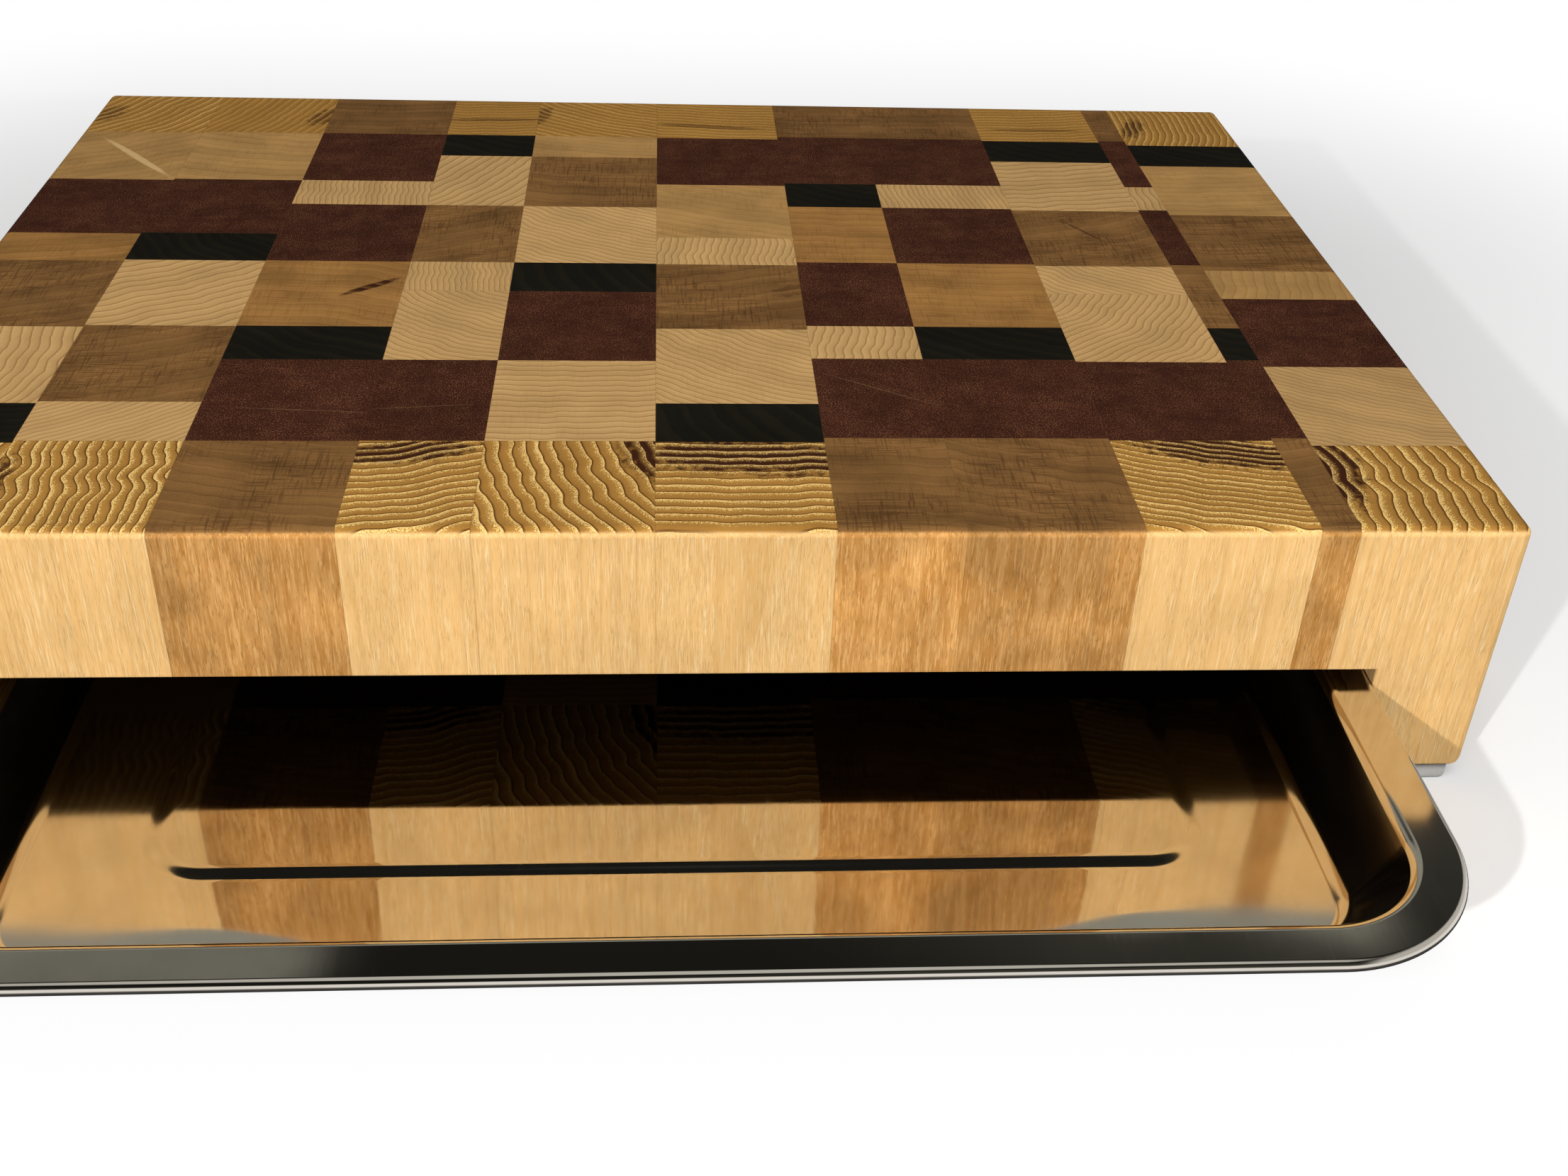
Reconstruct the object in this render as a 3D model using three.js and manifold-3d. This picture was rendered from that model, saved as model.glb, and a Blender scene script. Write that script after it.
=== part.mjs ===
// An end-grain butcher block on two legs, with a steel catch tray that slides out from under it.
// Millimetres, +Z up, the front of the block towards -Y.
// Build frame: x = 0 at the block's left side, y = 0 at its front face, z = 0 at the worktop.
// The finished group is moved so that its origin is the bottom centre of its bounding box.

import * as THREE from 'three';
import { mergeVertices } from 'three/addons/utils/BufferGeometryUtils.js';
import Module from 'manifold-3d';

const wasm = await Module();
wasm.setup();

// Mosaic: slices stand side by side across the block, and each slice is a row of eight strips
const wideSlice = 52.1;
const thinnedSlice = 50.2;
const mediumSlice = 37.6;
const narrowSlice = 11.8;
const wideStrip = 54.2;
const narrowStrip = 25;
const squaringCut = 11.2;

// Block
const deckThickness = 51.1;
const channelHeight = 38.4;
const legWidth = 36.6;
const topRound = 3;
const sideRound = 3;
const footRound = 4;
const heelRound = 1.2;

// Foot strips under the legs
const footThickness = 6;
const footSideMargin = 3;
const footEndMargin = 1;
const footCorner = 3;

// Tray
const trayBackRoom = 34;
const traySideClearance = 0.6;
const trayHeadroom = 4;
const trayDepth = 22.3;
const sheetThickness = 0.8;
const trayCorner = 46;
const hemRound = 2;
const hemCurl = THREE.MathUtils.degToRad(50);
const rimFlatEnd = 12.2;
const rimBend = 4;
const wallDraft = THREE.MathUtils.degToRad(31);
const bottomFillet = 5.5;
const panelSideMargin = 59.6;
const panelEndMargin = 59;
const panelCorner = 20;
const panelSlope = 6.8;
const panelRise = 0.7;
const pullOut = 118;

// Rails that carry the tray's rim
const railWidth = 12;
const railHeight = 14;
const railEndMargin = 8;
const railRound = 2;
const slidingGap = 0.3;

// Counts of flat facets that stand for a round
const arcPairs = 2;
const ringArc = 8;
const bendArc = 6;

// One length that every cutting cell runs past the block
const overrun = 5;

// Colours of the woods and the rest, with roughness and metalness
const finishes = {
  ash: new THREE.MeshStandardMaterial({ color: 0xc79a5c, roughness: 0.55, metalness: 0 }),
  maple: new THREE.MeshStandardMaterial({ color: 0xb4905c, roughness: 0.55, metalness: 0 }),
  pear: new THREE.MeshStandardMaterial({ color: 0x9c7648, roughness: 0.55, metalness: 0 }),
  cherry: new THREE.MeshStandardMaterial({ color: 0x80542c, roughness: 0.55, metalness: 0 }),
  walnut: new THREE.MeshStandardMaterial({ color: 0x6b4524, roughness: 0.55, metalness: 0 }),
  wenge: new THREE.MeshStandardMaterial({ color: 0x3e2118, roughness: 0.5, metalness: 0 }),
  ebony: new THREE.MeshStandardMaterial({ color: 0x1c1a14, roughness: 0.45, metalness: 0 }),
  steel: new THREE.MeshStandardMaterial({ color: 0xc9cacc, roughness: 0.12, metalness: 1 }),
  rubber: new THREE.MeshStandardMaterial({ color: 0xb9b7b3, roughness: 0.8, metalness: 0 }),
};

// A strip is a wood and its width along the slice
const wide = (wood) => ({ wood, length: wideStrip });
const narrow = (wood) => ({ wood, length: narrowStrip });

// Strips of the glued-up panels that the slices were sawn from, front to back
const walnutPanel = [
  wide('walnut'), wide('wenge'), narrow('ebony'), wide('cherry'),
  wide('wenge'), narrow('maple'), wide('wenge'), wide('walnut'),
];
const maplePanel = [
  wide('ash'), wide('wenge'), wide('maple'), narrow('maple'),
  wide('walnut'), wide('maple'), narrow('ebony'), wide('ash'),
];

// Slices from left to right. frontCutShare is how much of the squaring cut came off the front end
const slices = [
  { width: thinnedSlice, frontCutShare: 0.42, strips: [
    wide('ash'), narrow('ebony'), wide('maple'), wide('walnut'),
    narrow('cherry'), wide('wenge'), wide('pear'), wide('ash')] },
  { width: thinnedSlice, frontCutShare: 0.31, strips: [
    wide('ash'), narrow('maple'), wide('walnut'), wide('maple'),
    narrow('ebony'), wide('wenge'), wide('pear'), wide('ash')] },
  { width: wideSlice, frontCutShare: 0.28, strips: walnutPanel },
  { width: mediumSlice, frontCutShare: 0.26, strips: maplePanel },
  { width: wideSlice, frontCutShare: 0.26, strips: [
    wide('ash'), wide('maple'), wide('wenge'), narrow('ebony'),
    wide('maple'), wide('walnut'), narrow('pear'), wide('ash')] },
  { width: wideSlice, frontCutShare: 0.3, strips: [
    wide('ash'), narrow('ebony'), wide('maple'), wide('walnut'),
    narrow('maple'), wide('pear'), wide('wenge'), wide('ash')] },
  { width: mediumSlice, frontCutShare: 0.04, strips: [...walnutPanel].reverse() },
  { width: wideSlice, frontCutShare: 0.04, strips: walnutPanel },
  { width: wideSlice, frontCutShare: 0.15, strips: maplePanel },
  { width: narrowSlice, frontCutShare: 0, strips: walnutPanel },
  { width: wideSlice, frontCutShare: 0.42, strips: [
    wide('ash'), wide('maple'), wide('wenge'), narrow('cherry'),
    wide('walnut'), wide('pear'), narrow('ebony'), wide('ash')] },
];

// Sizes that follow from the ones above
const sum = (lengths) => lengths.reduce((total, length) => total + length, 0);
const blockWidth = sum(slices.map((slice) => slice.width));
const blockDepth = sum(walnutPanel.map((strip) => strip.length)) - squaringCut;
const legBottom = footThickness;
const channelTop = legBottom + channelHeight;
const blockTop = channelTop + deckThickness;
const channelWidth = blockWidth - 2 * legWidth;
const trayWidth = channelWidth - 2 * traySideClearance;
const trayLength = blockDepth - trayBackRoom;
const hemDrop = hemRound * (1 + Math.sin(hemCurl));
const rimTop = channelTop - trayHeadroom;
const railTop = rimTop - hemDrop - slidingGap;

// Axes for turning an extrusion's section: x, y and the way it is extruded
const acrossX = [new THREE.Vector3(0, 1, 0), new THREE.Vector3(0, 0, 1), new THREE.Vector3(1, 0, 0)];
const alongY = [new THREE.Vector3(1, 0, 0), new THREE.Vector3(0, 0, 1), new THREE.Vector3(0, -1, 0)];

function toSolid(geometry) {
  const bare = geometry.clone();
  bare.deleteAttribute('normal');
  bare.deleteAttribute('uv');
  const merged = mergeVertices(bare);
  return new wasm.Manifold(new wasm.Mesh({
    numProp: 3,
    vertProperties: merged.attributes.position.array,
    triVerts: new Uint32Array(merged.index.array),
  }));
}

function toGeometry(solid) {
  const mesh = solid.getMesh();
  const geometry = new THREE.BufferGeometry();
  geometry.setAttribute('position', new THREE.BufferAttribute(mesh.vertProperties, mesh.numProp));
  geometry.setIndex(new THREE.BufferAttribute(mesh.triVerts, 1));
  geometry.computeVertexNormals();
  return geometry;
}

// A box between two corners, whose faces keep exactly the corners' numbers
function cornerBox(low, high) {
  const geometry = new THREE.BoxGeometry(1, 1, 1);
  const position = geometry.attributes.position;
  for (let i = 0; i < position.count; i += 1) {
    position.setXYZ(
      i,
      position.getX(i) < 0 ? low.x : high.x,
      position.getY(i) < 0 ? low.y : high.y,
      position.getZ(i) < 0 ? low.z : high.z,
    );
  }
  return geometry;
}

// Rounds a corner of an outline whose sides turn left there, or goes through it when radius is 0
function turn(shape, x, y, startAngle, radius) {
  if (radius === 0) {
    shape.lineTo(x, y);
    return;
  }
  const middle = startAngle + Math.PI / 4;
  const reach = radius * Math.SQRT2;
  shape.absarc(
    x - reach * Math.cos(middle), y - reach * Math.sin(middle),
    radius, startAngle, startAngle + Math.PI / 2, false,
  );
}

// A rectangle with its own radius at each corner: bottom left, bottom right, top right, top left
function roundedRectangle(x0, y0, x1, y1, radii) {
  const shape = new THREE.Shape();
  shape.moveTo(x0 + radii[0], y0);
  shape.lineTo(x1 - radii[1], y0);
  turn(shape, x1, y0, -Math.PI / 2, radii[1]);
  shape.lineTo(x1, y1 - radii[2]);
  turn(shape, x1, y1, 0, radii[2]);
  shape.lineTo(x0 + radii[3], y1);
  turn(shape, x0, y1, Math.PI / 2, radii[3]);
  shape.lineTo(x0, y0 + radii[0]);
  turn(shape, x0, y0, Math.PI, radii[0]);
  return shape;
}

function extrude(shape, depth) {
  return new THREE.ExtrudeGeometry(shape, { depth, bevelEnabled: false, curveSegments: arcPairs });
}

// The whole block as one body: its three rounded outlines meet in it, and the channel is cut out
function blockBody() {
  const across = extrude(
    roundedRectangle(0, legBottom, blockWidth, blockTop, [footRound, footRound, topRound, topRound]),
    blockDepth + 2 * overrun,
  );
  across.applyMatrix4(new THREE.Matrix4().makeBasis(...alongY));
  across.translate(0, blockDepth + overrun, 0);
  const side = extrude(
    roundedRectangle(0, legBottom, blockDepth, blockTop, [heelRound, heelRound, topRound, topRound]),
    blockWidth + 2 * overrun,
  );
  side.applyMatrix4(new THREE.Matrix4().makeBasis(...acrossX));
  side.translate(-overrun, 0, 0);
  const plan = extrude(
    roundedRectangle(0, 0, blockWidth, blockDepth, [sideRound, sideRound, sideRound, sideRound]),
    blockTop + overrun,
  );
  const channel = cornerBox(
    new THREE.Vector3(legWidth, -overrun, -overrun),
    new THREE.Vector3(blockWidth - legWidth, blockDepth + overrun, channelTop),
  );
  return toSolid(across).intersect(toSolid(side)).intersect(toSolid(plan)).subtract(toSolid(channel));
}

// Where each strip of a slice begins and ends, front to back
function stripEnds(slice) {
  const ends = [];
  let y = -slice.frontCutShare * squaringCut;
  slice.strips.forEach((strip) => {
    const start = Math.max(y, 0);
    y += strip.length;
    ends.push([start, Math.min(y, blockDepth)]);
  });
  return ends;
}

const group = new THREE.Group();
const block = new THREE.Group();
group.add(block);

function addMesh(parent, name, geometry, finish) {
  const mesh = new THREE.Mesh(geometry, finish);
  mesh.name = name;
  parent.add(mesh);
  return mesh;
}

// The wood that takes up most of a run of strips
function mainWood(strips) {
  const totals = new Map();
  strips.forEach(({ wood, length }) => totals.set(wood, (totals.get(wood) ?? 0) + length));
  return [...totals].reduce((best, entry) => (entry[1] > best[1] ? entry : best))[0];
}

// Blocks of the mosaic: every block on the rim is a piece of its own,
// and the six inner blocks of each inner slice are joined in two runs of three
const body = blockBody();
const last = walnutPanel.length - 1;
const outerRuns = slices[0].strips.map((strip, i) => [i, i]);
const innerRuns = [[0, 0], [1, last / 2 - 1 / 2], [last / 2 + 1 / 2, last - 1], [last, last]];

function runName(column, first, end) {
  const number = String(column + 1).padStart(2, '0');
  if (first === 0) {
    return `front_block_${number}`;
  }
  if (end === last) {
    return `back_block_${number}`;
  }
  if (column === 0) {
    return `left_block_${first + 1}`;
  }
  if (column === slices.length - 1) {
    return `right_block_${first + 1}`;
  }
  return first === 1 ? `front_core_${number}` : `back_core_${number}`;
}

let sliceStart = 0;
slices.forEach((slice, column) => {
  const sliceEnd = sliceStart + slice.width;
  const atLeft = column === 0;
  const atRight = column === slices.length - 1;
  const ends = stripEnds(slice);
  (atLeft || atRight ? outerRuns : innerRuns).forEach(([first, end]) => {
    const low = new THREE.Vector3(
      atLeft ? -overrun : sliceStart,
      first === 0 ? -overrun : ends[first][0],
      -overrun,
    );
    const high = new THREE.Vector3(
      atRight ? sliceEnd + overrun : sliceEnd,
      end === last ? blockDepth + overrun : ends[end][1],
      blockTop + overrun,
    );
    const piece = body.intersect(toSolid(cornerBox(low, high)));
    const wood = mainWood(slice.strips.slice(first, end + 1));
    addMesh(block, runName(column, first, end), toGeometry(piece), finishes[wood]);
  });
  sliceStart = sliceEnd;
});

// Foot strips under both legs
function footStrip(start) {
  const corners = [footCorner, footCorner, footCorner, footCorner];
  return extrude(
    roundedRectangle(
      start + footSideMargin, footEndMargin,
      start + legWidth - footSideMargin, blockDepth - footEndMargin, corners,
    ),
    footThickness,
  );
}
addMesh(block, 'left_foot_strip', footStrip(0), finishes.rubber);
addMesh(block, 'right_foot_strip', footStrip(blockWidth - legWidth), finishes.rubber);

// Rails along the inside of both legs, under the tray's rim, with the lower inner edge eased
function rail(x0, x1, radii) {
  const geometry = extrude(
    roundedRectangle(x0, railTop - railHeight, x1, railTop, radii),
    blockDepth - 2 * railEndMargin,
  );
  geometry.applyMatrix4(new THREE.Matrix4().makeBasis(...alongY));
  geometry.translate(0, blockDepth - railEndMargin, 0);
  return geometry;
}
addMesh(block, 'left_tray_rail', rail(legWidth, legWidth + railWidth, [0, railRound, 0, 0]), finishes.ash);
addMesh(
  block, 'right_tray_rail',
  rail(blockWidth - legWidth - railWidth, blockWidth - legWidth, [railRound, 0, 0, 0]), finishes.ash,
);

// Section of the tray's upper side, from the hem's curled lip to the bottom: inset from the rim, and height
function traySection() {
  const section = [];
  for (let i = 0; i <= bendArc; i += 1) {
    const angle = -hemCurl + (i / bendArc) * (Math.PI / 2 + hemCurl);
    section.push([hemRound * (1 - Math.cos(angle)), hemRound * (Math.sin(angle) - 1)]);
  }
  const steep = Math.PI / 2 - wallDraft;
  for (let i = 0; i <= bendArc; i += 1) {
    const angle = (i / bendArc) * steep;
    section.push([rimFlatEnd + rimBend * Math.sin(angle), -rimBend * (1 - Math.cos(angle))]);
  }
  const wallTop = section[section.length - 1];
  const filletTop = -trayDepth + bottomFillet * (1 - Math.cos(steep));
  const filletStart = wallTop[0] + (wallTop[1] - filletTop) * Math.tan(wallDraft);
  const filletEnd = filletStart + bottomFillet * Math.sin(steep);
  for (let i = 0; i <= bendArc; i += 1) {
    const angle = (1 - i / bendArc) * steep;
    section.push([
      filletEnd - bottomFillet * Math.sin(angle),
      -trayDepth + bottomFillet * (1 - Math.cos(angle)),
    ]);
  }
  return section;
}

// The same section moved by the sheet's thickness to its lower side
function underside(section) {
  return section.map((point, i) => {
    const before = section[Math.max(i - 1, 0)];
    const after = section[Math.min(i + 1, section.length - 1)];
    const along = new THREE.Vector2(after[0] - before[0], after[1] - before[1]).normalize();
    if (i === section.length - 1) {
      return [point[0], point[1] - sheetThickness];
    }
    return [point[0] + along.y * sheetThickness, point[1] - along.x * sheetThickness];
  });
}

// A ring of the tray: a rectangle set in from the rim, with round corners, anticlockwise from above
function trayRing(sideInset, endInset, height, corner) {
  const halfWidth = trayWidth / 2 - sideInset;
  const halfLength = trayLength / 2 - endInset;
  const ring = [];
  [[1, 1], [-1, 1], [-1, -1], [1, -1]].forEach(([sideX, sideY], quarter) => {
    for (let i = 0; i <= ringArc; i += 1) {
      const angle = (quarter + i / ringArc) * (Math.PI / 2);
      ring.push([
        sideX * (halfWidth - corner) + corner * Math.cos(angle),
        sideY * (halfLength - corner) + corner * Math.sin(angle),
        height,
      ]);
    }
  });
  return ring;
}

// The panel pressed up in the bottom, as its outer and inner creases
function panelRings(drop) {
  return [
    trayRing(panelSideMargin, panelEndMargin, -trayDepth - drop, panelCorner),
    trayRing(
      panelSideMargin + panelSlope, panelEndMargin + panelSlope,
      -trayDepth + panelRise - drop, panelCorner - panelSlope,
    ),
  ];
}

// The tray's sheet, skinned from the middle of its upper side over the rim to the middle below
function trayGeometry() {
  const section = traySection();
  const toRing = ([inset, height]) => trayRing(inset, inset, height, trayCorner - inset);
  const above = section.map(toRing);
  const below = underside(section).map(toRing);
  const rings = [
    ...panelRings(0).reverse(), ...above.reverse(), ...below, ...panelRings(sheetThickness),
  ];
  const middleTop = [0, 0, -trayDepth + panelRise];
  const middleBelow = [0, 0, -trayDepth + panelRise - sheetThickness];
  const vertices = [middleTop, ...rings.flat(), middleBelow].flat();
  const around = rings[0].length;
  const lastVertex = vertices.length / 3 - 1;
  const faces = [];
  for (let i = 0; i < around; i += 1) {
    const next = (i + 1) % around;
    faces.push(0, 1 + i, 1 + next);
    const base = lastVertex - around;
    faces.push(lastVertex, base + next, base + i);
    for (let r = 0; r < rings.length - 1; r += 1) {
      const a = 1 + r * around;
      const b = a + around;
      faces.push(a + i, b + i, b + next, a + i, b + next, a + next);
    }
  }
  const geometry = new THREE.BufferGeometry();
  geometry.setAttribute('position', new THREE.Float32BufferAttribute(vertices, 3));
  geometry.setIndex(faces);
  geometry.computeVertexNormals();
  return geometry;
}

const tray = addMesh(group, 'catch_tray', trayGeometry(), finishes.steel);
tray.position.set(blockWidth / 2, trayLength / 2 - pullOut, rimTop);

group.position.set(-blockWidth / 2, -(blockDepth - pullOut) / 2, 0);

export default group;
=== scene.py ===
"""Dresses an end-grain butcher block with its catch tray: woods, polished steel, rubber and a plain studio.

Sizes are in metres in the row frame: +X to the user's right, +Y towards the back, +Z up. The wood's figure
is worked out in millimetres, because that is how a joiner would name a ring or a pore.
"""

import math
from typing import NamedTuple

import bmesh
import bpy
from mathutils import Euler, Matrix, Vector


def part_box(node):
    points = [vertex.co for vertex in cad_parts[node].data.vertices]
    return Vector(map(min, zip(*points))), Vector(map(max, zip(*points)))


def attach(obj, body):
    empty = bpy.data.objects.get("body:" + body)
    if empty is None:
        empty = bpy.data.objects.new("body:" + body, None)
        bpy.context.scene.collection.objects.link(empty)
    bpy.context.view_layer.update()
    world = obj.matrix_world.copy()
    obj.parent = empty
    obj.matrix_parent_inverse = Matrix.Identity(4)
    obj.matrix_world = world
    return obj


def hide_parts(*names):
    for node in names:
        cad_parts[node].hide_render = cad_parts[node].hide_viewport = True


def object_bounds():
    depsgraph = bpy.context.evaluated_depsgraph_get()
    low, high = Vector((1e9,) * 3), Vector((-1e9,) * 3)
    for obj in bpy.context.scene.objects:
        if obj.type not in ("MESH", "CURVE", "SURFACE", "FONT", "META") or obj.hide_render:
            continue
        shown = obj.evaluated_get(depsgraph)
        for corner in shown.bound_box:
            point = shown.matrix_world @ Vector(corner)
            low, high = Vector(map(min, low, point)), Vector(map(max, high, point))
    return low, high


bl_info = {
    "name": "Butcher block with catch tray",
    "version": (1, 0, 0),
    "blender": (4, 5, 0),
    "location": "3D View > Sidebar > Butcher block",
    "description": "Builds the blocks, tray, rails and foot strips on the packed frame, and a plain studio",
    "category": "Add Mesh",
}

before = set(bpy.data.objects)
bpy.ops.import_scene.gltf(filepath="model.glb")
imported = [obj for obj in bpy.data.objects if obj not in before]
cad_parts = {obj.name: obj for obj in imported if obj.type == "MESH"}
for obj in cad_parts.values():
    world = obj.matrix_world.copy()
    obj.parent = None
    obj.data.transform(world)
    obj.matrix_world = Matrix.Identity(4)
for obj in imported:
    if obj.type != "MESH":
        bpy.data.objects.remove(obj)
CAD_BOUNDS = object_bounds()

MM = 0.001

# Two planes this close are taken to be one, and the floor lies this far under the object
TOUCH = 0.01 * MM

# The photograph's width and its camera's focal length, both in the photograph's pixels
IMAGE_WIDTH_PX = 2212
FOCAL_LENGTH_PX = 2487.6
SENSOR_MM = 36.0

# How far out a block's outer side is put for the seams, so that no glue line is drawn along it
NO_SEAM_MM = 90.0

# Into how many pieces the roundings and the floor's edge are cut
BLOCK_EDGE_SEGMENTS = 5
RAIL_EDGE_SEGMENTS = 4
STRIP_STEPS = 8
FLOOR_SEGMENTS = 96


def srgb(red, green, blue):
    """A colour read by eye, from 0 to 255, as the linear one that Blender mixes."""
    def linear(value):
        share = value / 255
        return share / 12.92 if share <= 0.04045 else ((share + 0.055) / 1.055) ** 2.4
    return (linear(red), linear(green), linear(blue))


class Figure(NamedTuple):
    """How a wood is drawn. Amounts are shares from 0 to 1, and sizes are in millimetres."""
    wave: float            # how far a ring wanders
    early_share: float     # of a ring that is open, pale wood
    line_share: float      # of a ring that is the dense line at its end
    ragged: float          # share of a ring by which its edges fray
    early: float           # strength of the pale wood on the end grain
    line: float            # strength of the dark line that closes a ring
    band: float            # strength of the slow change of colour from ring to ring
    pores: float           # strength of the pores on the end grain
    pore_size: float
    pore_length: float
    pore_cover: float      # noise level above which a pore opens
    side_early: float      # strength of the open wood along the grain
    side_line: float       # strength of the rings' dark lines along the grain
    side_fibre: float      # strength of the slow streaks along the grain
    side_glints: float     # strength of the fine bright streaks along the grain
    sanding: float         # strength of the sanding marks
    mottle: float
    end_roughness: float
    side_roughness: float
    relief: float          # height of the figure


FIGURES = {
    "ash": Figure(
        wave=1.0, early_share=0.21, line_share=0.10, ragged=0.42, early=0.88, line=1.0, band=0.12,
        pores=0.28, pore_size=0.28, pore_length=5.0, pore_cover=0.60,
        side_early=0.16, side_line=0.22, side_fibre=0.12, side_glints=0.50, sanding=0.04, mottle=0.10,
        end_roughness=0.55, side_roughness=0.44, relief=0.10),
    "maple": Figure(
        wave=1.2, early_share=0.30, line_share=0.14, ragged=0.06, early=0.10, line=0.66, band=0.18,
        pores=0.14, pore_size=0.30, pore_length=7.0, pore_cover=0.62,
        side_early=0.20, side_line=0.25, side_fibre=0.35, side_glints=0.20, sanding=0.14, mottle=0.12,
        end_roughness=0.55, side_roughness=0.44, relief=0.03),
    "pear": Figure(
        wave=0.9, early_share=0.30, line_share=0.12, ragged=0.14, early=0.10, line=0.25, band=0.34,
        pores=0.22, pore_size=0.28, pore_length=6.0, pore_cover=0.60,
        side_early=0.20, side_line=0.20, side_fibre=0.35, side_glints=0.20, sanding=0.24, mottle=0.22,
        end_roughness=0.55, side_roughness=0.44, relief=0.03),
    "cherry": Figure(
        wave=1.0, early_share=0.30, line_share=0.12, ragged=0.14, early=0.10, line=0.25, band=0.44,
        pores=0.30, pore_size=0.28, pore_length=6.0, pore_cover=0.60,
        side_early=0.20, side_line=0.20, side_fibre=0.40, side_glints=0.25, sanding=0.34, mottle=0.26,
        end_roughness=0.55, side_roughness=0.44, relief=0.03),
    "walnut": Figure(
        wave=1.0, early_share=0.22, line_share=0.10, ragged=0.16, early=0.12, line=0.22, band=0.58,
        pores=0.40, pore_size=0.45, pore_length=3.0, pore_cover=0.60,
        side_early=0.18, side_line=0.20, side_fibre=0.50, side_glints=0.62, sanding=0.62, mottle=0.34,
        end_roughness=0.55, side_roughness=0.42, relief=0.04),
    "wenge": Figure(
        wave=0.8, early_share=0.25, line_share=0.10, ragged=0.20, early=0.05, line=0.20, band=0.24,
        pores=0.75, pore_size=0.40, pore_length=8.0, pore_cover=0.57,
        side_early=0.15, side_line=0.15, side_fibre=0.40, side_glints=0.40, sanding=0.20, mottle=0.22,
        end_roughness=0.50, side_roughness=0.44, relief=0.03),
    "ebony": Figure(
        wave=1.2, early_share=0.42, line_share=0.10, ragged=0.15, early=0.16, line=0.10, band=0.30,
        pores=0.10, pore_size=0.30, pore_length=8.0, pore_cover=0.66,
        side_early=0.20, side_line=0.10, side_fibre=0.30, side_glints=0.20, sanding=0.06, mottle=0.20,
        end_roughness=0.50, side_roughness=0.42, relief=0.02),
}


class Colours(NamedTuple):
    """The colours of a wood, on the end grain and along the grain."""
    end: tuple
    early: tuple
    line: tuple
    pore: tuple
    side: tuple
    streak: tuple


COLOURS = {
    "ash": Colours(srgb(178, 130, 60), srgb(236, 198, 122), srgb(86, 50, 20),
                   srgb(128, 88, 38), srgb(222, 176, 112), srgb(240, 210, 158)),
    "maple": Colours(srgb(190, 152, 98), srgb(206, 172, 118), srgb(136, 98, 54),
                     srgb(150, 112, 68), srgb(220, 176, 112), srgb(240, 208, 150)),
    "pear": Colours(srgb(164, 126, 74), srgb(178, 140, 86), srgb(112, 78, 40),
                    srgb(112, 78, 42), srgb(206, 156, 92), srgb(228, 184, 120)),
    "cherry": Colours(srgb(148, 106, 56), srgb(166, 122, 70), srgb(100, 66, 30),
                      srgb(94, 62, 30), srgb(200, 140, 76), srgb(224, 170, 102)),
    "walnut": Colours(srgb(118, 84, 46), srgb(146, 108, 64), srgb(70, 44, 22),
                      srgb(62, 38, 18), srgb(172, 120, 60), srgb(210, 162, 102)),
    "wenge": Colours(srgb(57, 29, 20), srgb(68, 38, 26), srgb(34, 16, 11),
                     srgb(138, 90, 58), srgb(90, 48, 32), srgb(122, 76, 50)),
    "ebony": Colours(srgb(22, 20, 15), srgb(44, 36, 22), srgb(12, 11, 8),
                     srgb(58, 50, 34), srgb(30, 26, 19), srgb(48, 40, 28)),
}


class Strip(NamedTuple):
    """One block of a slice: its wood and how its rings lie. The pith is the middle of the rings."""
    wood: str
    pith_angle: float      # degrees from +X, as seen from above
    pith_distance: float   # millimetres from the middle of the block
    ring_width: float      # millimetres
    tone: float            # -1 darker to 1 paler
    waviness: float = 1.0
    contrast: float = 1.0


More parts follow.
